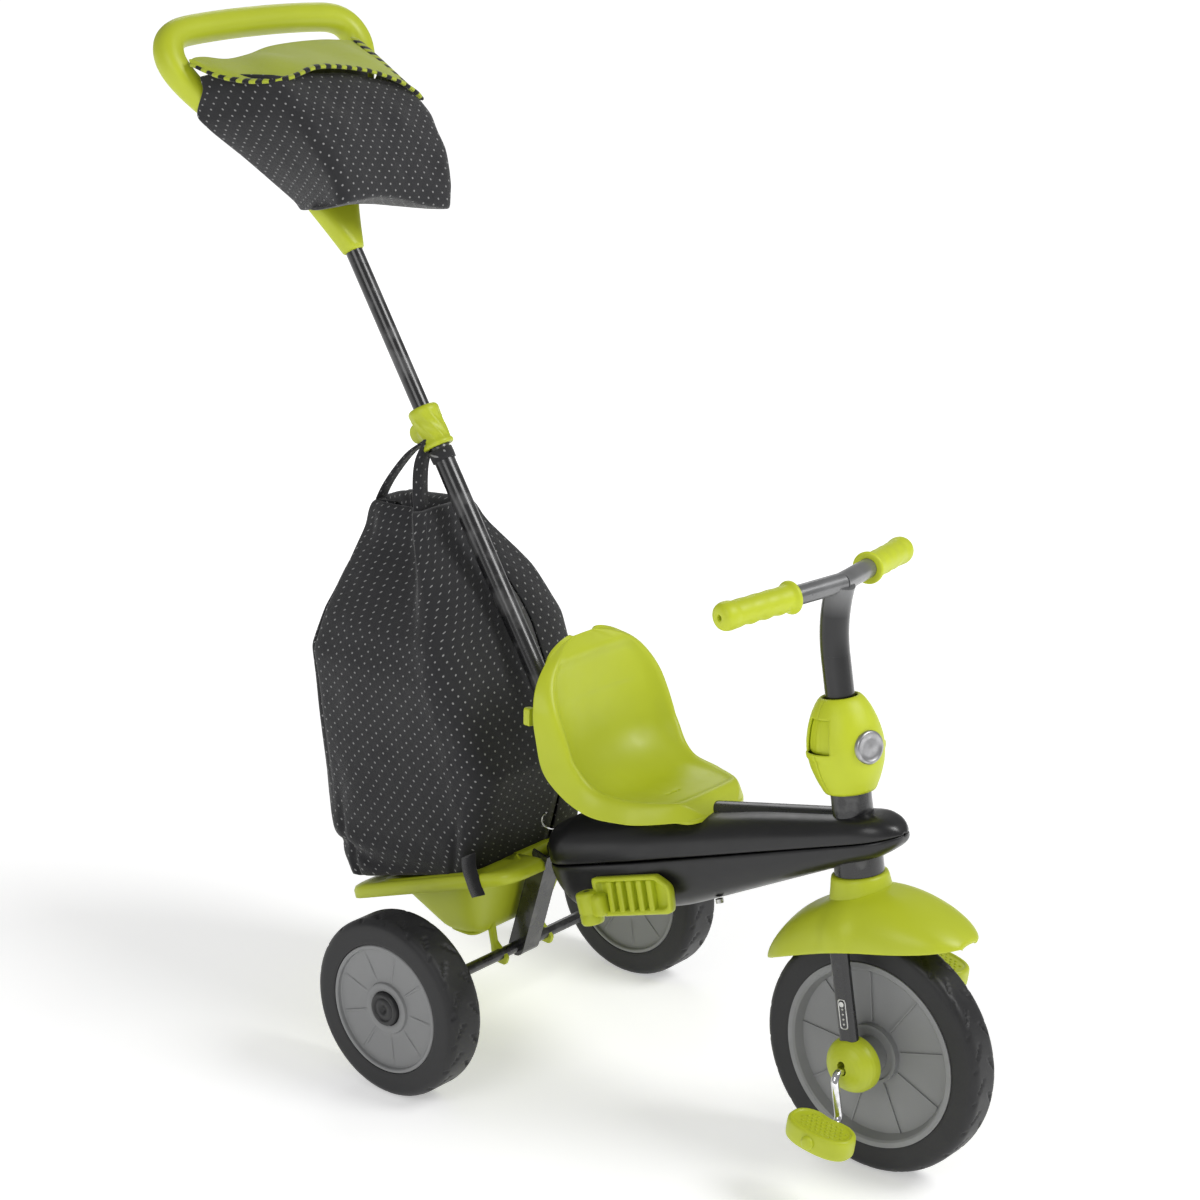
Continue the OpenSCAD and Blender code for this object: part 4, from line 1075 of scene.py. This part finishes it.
def make_handle():
    half = [(20, 703), (27, 716), (45, 740), (72, 776), (100, 812), (119, 838), (130, 858), (134, 874), (131, 888),
            (122, 898.5), (106, 904.5), (80, 907), (40, 908.6), (0, 909)]
    pts = [(-y, t) for y, t in half] + [(y, t) for y, t in reversed(half[:-1])]
    path = catmull([(0, y, t) for y, t in pts], 5)
    rows = []
    for i, p in enumerate(path):
        q0, q1 = path[max(0, i - 1)], path[min(len(path) - 1, i + 1)]
        d = Vector((0, q1[1] - q0[1], q1[2] - q0[2])).normalized()
        nrm = Vector((0, -d.z, d.y))
        k = smooth(p[2], 720, 880)
        across, deep = lerp(9.0, 15.0, k), lerp(10.5, 15.0, k)
        rows.append([POLE(*(Vector((0, p[1], p[2])) + nrm * a + Vector((b, 0, 0))))
                     for a, b in oval(across, deep, 28, 0.9)])
    ob = loft("handle_bar", rows)
    finish_piece(ob, "lime", "parent_handle", ["push_handle"])
    rows = []
    for t, wy, wx, e in ((645.5, 11.2, 11.2, 0), (650, 12, 12, 0), (668, 18.5, 12.4, 0), (686, 26.5, 12.6, 0),
                         (702, 34.5, 12.4, 0), (712, 37, 11.8, 0), (716, 35, 10.4, 0)):
        rows.append([POLE(b, a, t) for a, b in oval(wy, wx, 36, 0.72 if t > 660 else 0.95)])
    socket = loft("handle_socket_body", rows)
    subdivide(socket)
    finish_piece(socket, "lime", "parent_handle", ["handle_socket"])
    lug = plate("handle_tie_lug", lambda x, y, z: POLE(-3 + z, -133 + x, 866 + y),
                rounded([(-9, -7), (3, -9), (4, 7), (-7, 8)], 3), -3, 3, 1)
    finish_piece(lug, "lime", "parent_handle")


make_handle()


# ---- Pouch ----

def span_uv(rows):
    """A texture map in metres: u along each row from its middle, v down each column."""
    uv = []
    down = [0.0] * len(rows[0])
    for i, row in enumerate(rows):
        if i:
            down = [d + (Vector(a) - Vector(b)).length for d, a, b in zip(down, row, rows[i - 1])]
        d = [0.0]
        for a, b in zip(row, row[1:]):
            d.append(d[-1] + (Vector(b) - Vector(a)).length)
        mid = d[len(d) // 2]
        uv += [(x - mid, v) for x, v in zip(d, down)]
    return uv


FLAP_FRONT = [(-133, 22, 860), (-124, 44, 834), (-110, 70, 814), (-86, 93, 804), (-54, 102, 808), (-20, 105, 804),
              (20, 105, 795), (54, 103, 782), (76, 99, 770), (86, 94, 763)]
FLAP_BACK = [(-133, 20, 858), (-125, 19, 868), (-108, 19, 869), (-80, 19, 864), (-50, 19, 866), (-18, 19.5, 872),
             (22, 19.5, 874), (60, 20, 873), (92, 20, 870), (112, 21, 866)]


POUCH_ARM = [(700, 40), (712, 43), (732, 59), (768, 87), (800, 114), (814, 124), (830, 127), (852, 124)]


def make_pouch():
    """An open cloth bucket tied between the handle's arms."""
    levels = [(0.0, 848, 87, 94, 68, 805), (0.2, 824, 92, 95, 80, 780), (0.45, 790, 95, 89, 92, 755),
              (0.7, 750, 93, 82, 96, 723), (0.9, 716, 88, 74, 92, 694), (1.0, 703, 80, 70, 86, 672)]
    rows = []
    for i in range(33):
        k = i / 32
        t_back, e_front, y_near, y_far, t_low = [table(k, [(r[0], r[c]) for r in levels]) for c in range(1, 6)]
        y_back = table(t_back, POUCH_ARM)
        e_back = lerp(-7, 19, smooth(t_back, 816, 836))
        corner = rounded([(-y_back, e_back), (-y_near, e_front), (y_far, e_front), (y_back, e_back)], 13, 8)
        line = resample([(-y_back, e_back)] + corner[9:27] + [(y_back, e_back)], 73)
        row = []
        for y, e in line:
            f = min(1, max(0, (e - e_back) / (e_front - e_back)))
            top = table(y, [(q[0], q[2]) for q in FLAP_FRONT]) + 6
            low = t_low - 27 * k * smooth(y, -30, 95)
            t = lerp(t_back, lerp(top, low, smooth(k, -0.1, 0.32)) if k < 0.32 else low, f ** 0.9)
            mid = max(0, math.cos(PI * y / 2 / 100)) * f
            e2 = e + f * (3.5 * math.sin(PI * k) * mid + 1.6 * wobble(y, t, e, 26, 2) + 0.9 * wobble(y, t, e, 11, 5))
            pinch = 1 - 0.02 * f * math.sin(PI * k) * wobble(t, y, e, 17, 1)
            row.append(POLE(e2, y * pinch, t + 5 * (k - 0.5) * mid + 0.9 * wobble(y, e, t, 23, 7)))
        rows.append(row)
    base = rows[-1]
    for shrink in (0.93, 0.8, 0.5, 0.2):
        row = []
        for p, j in zip(base, range(len(base))):
            y = (p - POLE.o).dot(POLE.y) * 1000
            e = (p - POLE.o).dot(POLE.x) * 1000
            t = (p - POLE.o).dot(POLE.z) * 1000
            row.append(POLE(18 + (e - 18) * shrink, y * lerp(1, 0.97, 1 - shrink),
                            lerp(701, t, shrink ** 0.5) - 1.5 * (1 - shrink)))
        rows.append(row)
    ob = grid("pouch_cloth", rows, uv=span_uv(rows))
    solidify(ob, 1.0, -1.0)
    subdivide(ob)
    finish_piece(ob, "dots", "parent_handle", ["pouch"])
    back = []
    for t, y in ((846, 118), (800, 92), (750, 67), (701, 40)):
        back.append([POLE(17.0, lerp(-y, y, j / 16), t) for j in range(17)])
    panel = grid("pouch_back", back, uv=span_uv(back))
    solidify(panel, 0.8)
    finish_piece(panel, "lining", "parent_handle")


def resample(line, n):
    p = np.array(line, float)
    d = np.concatenate([[0], np.cumsum(np.linalg.norm(np.diff(p, axis=0), axis=1))])
    t = np.linspace(0, d[-1], n)
    return list(zip(np.interp(t, d, p[:, 0]), np.interp(t, d, p[:, 1])))


make_pouch()


def make_flap():
    front, back = catmull(FLAP_FRONT, 6), catmull(FLAP_BACK, 6)
    rows = []
    for i in range(13):
        k = i / 12
        row = []
        for j, (f, b) in enumerate(zip(front, back)):
            p = b + (f - b) * k
            lift = 5.5 * math.sin(PI * k) * (0.6 + 0.5 * math.sin(j * 0.31 + 0.8))
            fold = 1.8 * math.sin(j * 0.62 + k * 2.4) * math.sin(PI * min(1, k * 1.1))
            row.append(POLE(p[0 + 1] + 0.4 * lift, p[0], p[2] + lift + fold))
        rows.append(row)
    ob = grid("pouch_flap_cloth", rows, uv=span_uv(rows))
    solidify(ob, 1.0, 1.0)
    subdivide(ob)
    finish_piece(ob, "green_cloth", "parent_handle", ["pouch_flap"])
    edge = rows[-1]
    right = [r[-1] for r in rows][::-1]
    path = edge + right[1:]
    samples = resample3(path, 300)
    step = 0.0066
    total = sum((samples[i + 1] - samples[i]).length for i in range(299))
    count = int(total / step)
    verts = {"green_cloth": [], "black_tape": []}
    faces = {"green_cloth": [], "black_tape": []}
    uvs = {"green_cloth": [], "black_tape": []}
    for c in range(count):
        key = "black_tape" if c % 2 else "green_cloth"
        a, b = c / count, (c + 1) / count
        first = len(verts[key])
        rings = []
        for s in range(5):
            t = lerp(a, b, s / 4) * 299
            i = min(298, int(t))
            p = samples[i].lerp(samples[i + 1], t - i)
            tan = (samples[min(299, i + 3)] - samples[max(0, i - 3)]).normalized()
            inward = (POLE(45, 0, 850) - p)
            inward = (inward - tan * inward.dot(tan)).normalized()
            over = tan.cross(inward).normalized()
            if over.dot(POLE.z) < 0:
                over = -over
            slant = tan * 0.0016
            rings.append([p + inward * u + over * v + slant * (u / 0.006) for u, v in
                          ((0.0095, 0.0006), (0.0092, 0.0020), (0.0040, 0.0027), (-0.0004, 0.0020), (-0.0012, 0.0004),
                           (-0.0004, -0.0012), (0.0030, -0.0014))])
        for r in rings:
            verts[key] += r
            uvs[key] += [(0.002 * j, 0.002 * len(verts[key])) for j in range(len(r))]
        faces[key] += grid_faces(5, 7, True, first)
        faces[key].append(tuple(first + j for j in range(6, -1, -1)))
        faces[key].append(tuple(first + 28 + j for j in range(7)))
    for key, nm in (("green_cloth", "flap_trim_lime"), ("black_tape", "flap_trim_black")):
        tr = mesh_object(nm, verts[key], faces[key], uvs[key])
        finish_piece(tr, key, "parent_handle")


def resample3(path, n):
    p = np.array([tuple(q) for q in path])
    d = np.concatenate([[0], np.cumsum(np.linalg.norm(np.diff(p, axis=0), axis=1))])
    t = np.linspace(0, d[-1], n)
    return [Vector([np.interp(x, d, p[:, k]) for k in range(3)]) for x in t]


make_flap()


# ---- Storage bag ----

BAG = [(147, -618, -440, 98, 99, 28), (200, -648, -432, 98, 102, 20), (290, -672, -416, 97, 104, 8),
       (392, -690, -452, 97, 110, 0), (435, -680, -474, 84, 116, 0), (480, -664, -508, 62, 100, 0),
       (523, -651, -548, 40, 74, 0), (545, -644, -566, 28, 54, 0)]


def bag_row(z, n=96):
    """One level of the bag: a box with soft corners, slacker on the side towards the seat."""
    x0, x1, w0, w1, rise = [table(z, [(r[0], r[i]) for r in BAG]) for i in range(1, 6)]
    row = []
    for k in range(n):
        a = 2 * PI * (k + 0.5) / n
        f, g = spow(math.cos(a), 0.27), spow(math.sin(a), 0.27)
        w = lerp(w0, w1, (f + 1) / 2)
        if g < 0 < f:
            w *= 1 - 0.22 * smooth(z, 380, 500)
        row.append([(x0 + x1) / 2 + (x1 - x0) / 2 * f, w * g, z + rise * (f + 1)])
    return row


def make_bag():
    n = 96
    rows = []
    for i in range(64):
        z = 147 + (545 - 147) * i / 63
        row = bag_row(z, n)
        out = []
        for k, (x, y, zz) in enumerate(row):
            a = 2 * PI * (k + 0.5) / n
            cx, cy = x - (-560), y
            r = math.hypot(cx, cy)
            k2 = (z - 147) / 398
            fold = 2.2 * math.sin(6 * a + 0.8 + 1.3 * math.sin(z / 60)) * smooth(k2, 0.55, 1.0)
            fold += 2.6 * wobble(x, y, zz, 38, 3) * (0.15 + k2) + 1.1 * wobble(x, y, zz, 15, 8) * smooth(k2, 0, 0.2)
            deep = -24 * math.exp(-((a - 4.02) / 0.10) ** 4) * smooth(k2, 0.58, 0.74)
            deep += -7 * math.exp(-((a - 4.78) / 0.09) ** 2) * smooth(k2, 0.72, 0.95)
            deep += -5 * math.exp(-((a - 4.10) / 0.05) ** 2) * smooth(k2, 0.15, 0.5)
            deep += -6 * math.exp(-((a - 4.35) / 0.07) ** 2) * (1 - smooth(k2, 0.1, 0.28))
            deep += -5 * math.exp(-((a - 5.05) / 0.06) ** 2) * (1 - smooth(k2, 0.12, 0.36))
            g = (fold + deep - 1.5) / max(20, r)
            out.append(TRIKE(x + cx * g, y + cy * g, zz + 2.0 * wobble(y, x, zz, 30, 4) * k2))
        rows.append(out)
    rows = [[rows[0][k].lerp(TRIKE(-530, 0, 177), t) + Vector((0, 0, 0.0035 * t)) for k in range(n)]
            for t in (0.6, 0.25)] + rows
    centre = TRIKE(-607, 0, 548)
    rows.append([rows[-1][k].lerp(centre, 0.10) + Vector((0, 0, 0.0015)) for k in range(n)])
    rows.append([rows[-1][k].lerp(centre, 0.35) - Vector((0, 0, 0.006)) for k in range(n)])
    rows.append([rows[-1][k].lerp(centre, 0.3) - Vector((0, 0, 0.014)) for k in range(n)])
    opened = [r + [r[0]] for r in rows]
    uv = bag_uv(opened)
    ob = grid("storage_bag_cloth", opened, uv=uv)
    solidify(ob, 1.2, -1.0)
    subdivide(ob)
    finish_piece(ob, "dots", "chassis", ["storage_bag"])
    return ob


def bag_uv(rows):
    """The four sides of the bag keep upright dots: u runs round it at one level, v runs up."""
    uv = []
    girth = 0.66
    for row in rows:
        d = [0.0]
        for a, b in zip(row, row[1:]):
            d.append(d[-1] + (b - a).length)
        z = [p.z for p in row]
        uv += [(x * 0.5 + 0.5 * x / d[-1] * girth, h) for x, h in zip(d, z)]
    return uv


def ease_cloth(ob, frames=14, limit=0.007):
    """Lets the bag settle under a little air from inside, with its hem and its mouth held, then bakes it."""
    me = ob.data
    group = ob.vertex_groups.new(name="held")
    z = [v.co.z for v in me.vertices]
    low, high = min(z), max(z)
    for v in me.vertices:
        grip = max(1 - smooth(v.co.z, low, low + 0.05), smooth(v.co.z, high - 0.03, high))
        group.add([v.index], grip, "REPLACE")
    rest = [v.co.copy() for v in me.vertices]
    keep = list(ob.modifiers)
    for m in keep:
        m.show_viewport = False
    c = ob.modifiers.new("Cloth", "CLOTH")
    s = c.settings
    s.vertex_group_mass = "held"
    s.quality = 6
    s.mass = 0.25
    s.tension_stiffness = 25
    s.compression_stiffness = 12
    s.bending_stiffness = 0.4
    s.use_pressure = True
    s.uniform_pressure_force = 1.6
    s.shrink_min = -0.035
    s.effector_weights.gravity = 0.5
    for f in range(1, frames + 1):
        bpy.context.scene.frame_set(f)
    deps = bpy.context.evaluated_depsgraph_get()
    moved = ob.evaluated_get(deps).to_mesh()
    for v, w, r in zip(me.vertices, moved.vertices, rest):
        d = w.co - r
        v.co = r + (d if d.length < limit else d.normalized() * limit)
    ob.evaluated_get(deps).to_mesh_clear()
    ob.modifiers.remove(c)
    bpy.context.scene.frame_set(1)
    for m in keep:
        m.show_viewport = True
    ob.vertex_groups.clear()


BAG_CLOTH = make_bag()
ease_cloth(BAG_CLOTH)


def make_straps():
    rear = ribbon("bag_hanger_rear", catmull([tuple(TRIKE(-578, -10, 617)), tuple(TRIKE(-598, -16, 600)),
                                              tuple(TRIKE(-622, -18, 570)), tuple(TRIKE(-637, -17, 546)),
                                              tuple(TRIKE(-640, -17, 532))], 6), 0.016)
    finish_piece(rear, "dots", "chassis", ["bag_hang_strap"])
    front = ribbon("bag_hanger_front", catmull([tuple(TRIKE(-577, -9, 616)), tuple(TRIKE(-583, -15, 592)),
                                                tuple(TRIKE(-580, -20, 560)), tuple(TRIKE(-572, -24, 528)),
                                                tuple(TRIKE(-562, -30, 500))], 6), 0.022)
    finish_piece(front, "dots", "chassis")
    ring = lathe("bag_hanger_ring", through(POLE.z, POLE(0, 0, 411), (0, 0, 0)),
                 [(11.4, 0), (12.6, 0), (12.9, 6), (12.6, 12), (11.4, 12)], 40)
    ob = ring
    me = ob.data
    layer = me.uv_layers.new(name="UVMap")
    for p in me.polygons:
        for li in p.loop_indices:
            co = me.vertices[me.loops[li].vertex_index].co
            layer.data[li].uv = (co.y, co.z)
    finish_piece(ring, "dots", "chassis")
    for side in (-1, 1):
        nm = "bag_tie_left" if side > 0 else "bag_tie_right"
        pts = [BASKET(181, side * 99, 26), BASKET(184, side * 105.5, 15), BASKET(187, side * 108.0, 3),
               BASKET(188, side * 108.2, -6), BASKET(189, side * 107.4, -15)]
        tie = ribbon(nm, catmull([tuple(p) for p in pts], 5), 0.019, up=tuple(BASKET.x))
        finish_piece(tie, "black_tape", "chassis", ["bag_ties"] if side > 0 else [])


make_straps()


# ---- Small pressed marks on the fork legs, and the lock knob's wire ----

def make_leg_marks():
    for side in (-1, 1):
        word = "left" if side > 0 else "right"
        path = rounded([(-3.4, 38), (3.4, 38), (3.4, 66), (-3.4, 66)], 3.3, 6)
        rows = []
        for grow, out in ((0, 5.3), (0, 5.95), (0.5, 6.1), (1.0, 5.95), (1.1, 5.3)):
            rows.append([STEER(x + math.copysign(grow, x), side * (46 + out),
                               52 + (z - 52) * (1 + grow / 14)) for x, z in path])
        ring = grid(f"leg_mark_{word}", rows if side < 0 else [r[::-1] for r in rows], close_v=True)
        finish_piece(ring, "steel", "fork_group")
        for k in range(5):
            profile = [(1.25, 5.3), (1.2, 5.9), (0.8, 6.2), (0.02, 6.3)]
            spot = through(STEER.z, STEER(0, 0, 42 + 5 * k), (0, 0, 0))
            dot = lathe(f"leg_dot_{word}_{k}", spot, [(r, side * (46 + h)) for r, h in profile], 14, axis="y")
            finish_piece(dot, "steel", "fork_group")


make_leg_marks()


def make_wire():
    """The bent wire grip clipped through the lock knob's ring."""
    pts = [BODY(-424, -6, 27.5), BODY(-431, -9, 29), BODY(-436, -12, 33), BODY(-434, -16, 40), BODY(-428, -19, 46),
           BODY(-421, -20, 49)]
    wire = sweep("knob_wire", catmull([tuple(p) for p in pts], 8), lambda i, n: oval(0.0009, 0.0009, 10), (0, 0, 1))
    finish_piece(wire, "chrome", "lock_knob")


make_wire()


# ---- Camera, light and floor ----

def set_camera():
    a, e, roll = math.radians(38.64), math.radians(17.78), math.radians(1.505)
    back = Vector((math.sin(a) * math.cos(e), -math.cos(a) * math.cos(e), math.sin(e)))
    right = Vector((math.cos(a), math.sin(a), 0))
    up = back.cross(right)
    r2 = right * math.cos(roll) + up * math.sin(roll)
    u2 = up * math.cos(roll) - right * math.sin(roll)
    m = Matrix((r2, u2, back)).transposed().to_4x4()
    m.translation = TRIKE(-356.7, 0, 491.6) + back * 2.8758
    data = bpy.data.cameras.new("camera")
    data.sensor_width = 36
    data.lens = 2901.44 / 1200 * 36
    data.clip_end = 60
    cam = bpy.data.objects.new("camera", data)
    bpy.context.scene.collection.objects.link(cam)
    cam.matrix_world = m
    bpy.context.scene.camera = cam


def area_light(name, at, target, size, power):
    data = bpy.data.lights.new(name, "AREA")
    data.shape = "DISK"
    data.size = size
    data.energy = power
    ob = bpy.data.objects.new(name, data)
    bpy.context.scene.collection.objects.link(ob)
    ob.location = at
    ob.rotation_euler = (Vector(target) - Vector(at)).to_track_quat("-Z", "Y").to_euler()


set_camera()
bpy.context.scene.view_settings.view_transform = "Standard"
area_light("key", (2.4, 0.9, 2.9), (0, 0, 0.35), 1.6, 62)
area_light("front", (0.6, -3.0, 2.2), (0, 0, 0.4), 1.8, 26)
area_light("rear", (-2.4, 2.4, 2.4), (0, 0, 0.4), 2.0, 18)
world = bpy.data.worlds.new("studio")
world.use_nodes = True
world.node_tree.nodes["Background"].inputs[0].default_value = (1, 1, 1, 1)
world.node_tree.nodes["Background"].inputs[1].default_value = 0.30
bpy.context.scene.world = world

floor_low = CAD_BOX[0][2] - 0.0002
floor = mesh_object("floor", [(-30, -30, floor_low), (30, -30, floor_low), (30, 30, floor_low), (-30, 30, floor_low)],
                    [(0, 1, 2, 3)], smooth_faces=False)
fm = Nodes("floor_painted_glow")
fm.bsdf.inputs["Base Color"].default_value = (0.93, 0.93, 0.93, 1)
fm.bsdf.inputs["Roughness"].default_value = 1.0
fm.bsdf.inputs["Specular IOR Level"].default_value = 0.0
fm.bsdf.inputs["Emission Color"].default_value = (1, 1, 1, 1)
# The floor glows as painted light, graded from dim near the trike to bright far away; the dimmer glow near the trike is
# painted shade around it.
away = fm.add("ShaderNodeVectorMath", {0: fm.place()}, operation="LENGTH").outputs["Value"]
fm.put(fm.bsdf.inputs["Emission Strength"], fm.spread(away, 0.55, 2.6, 0.40, 0.80))
floor.data.materials.append(fm.mat)
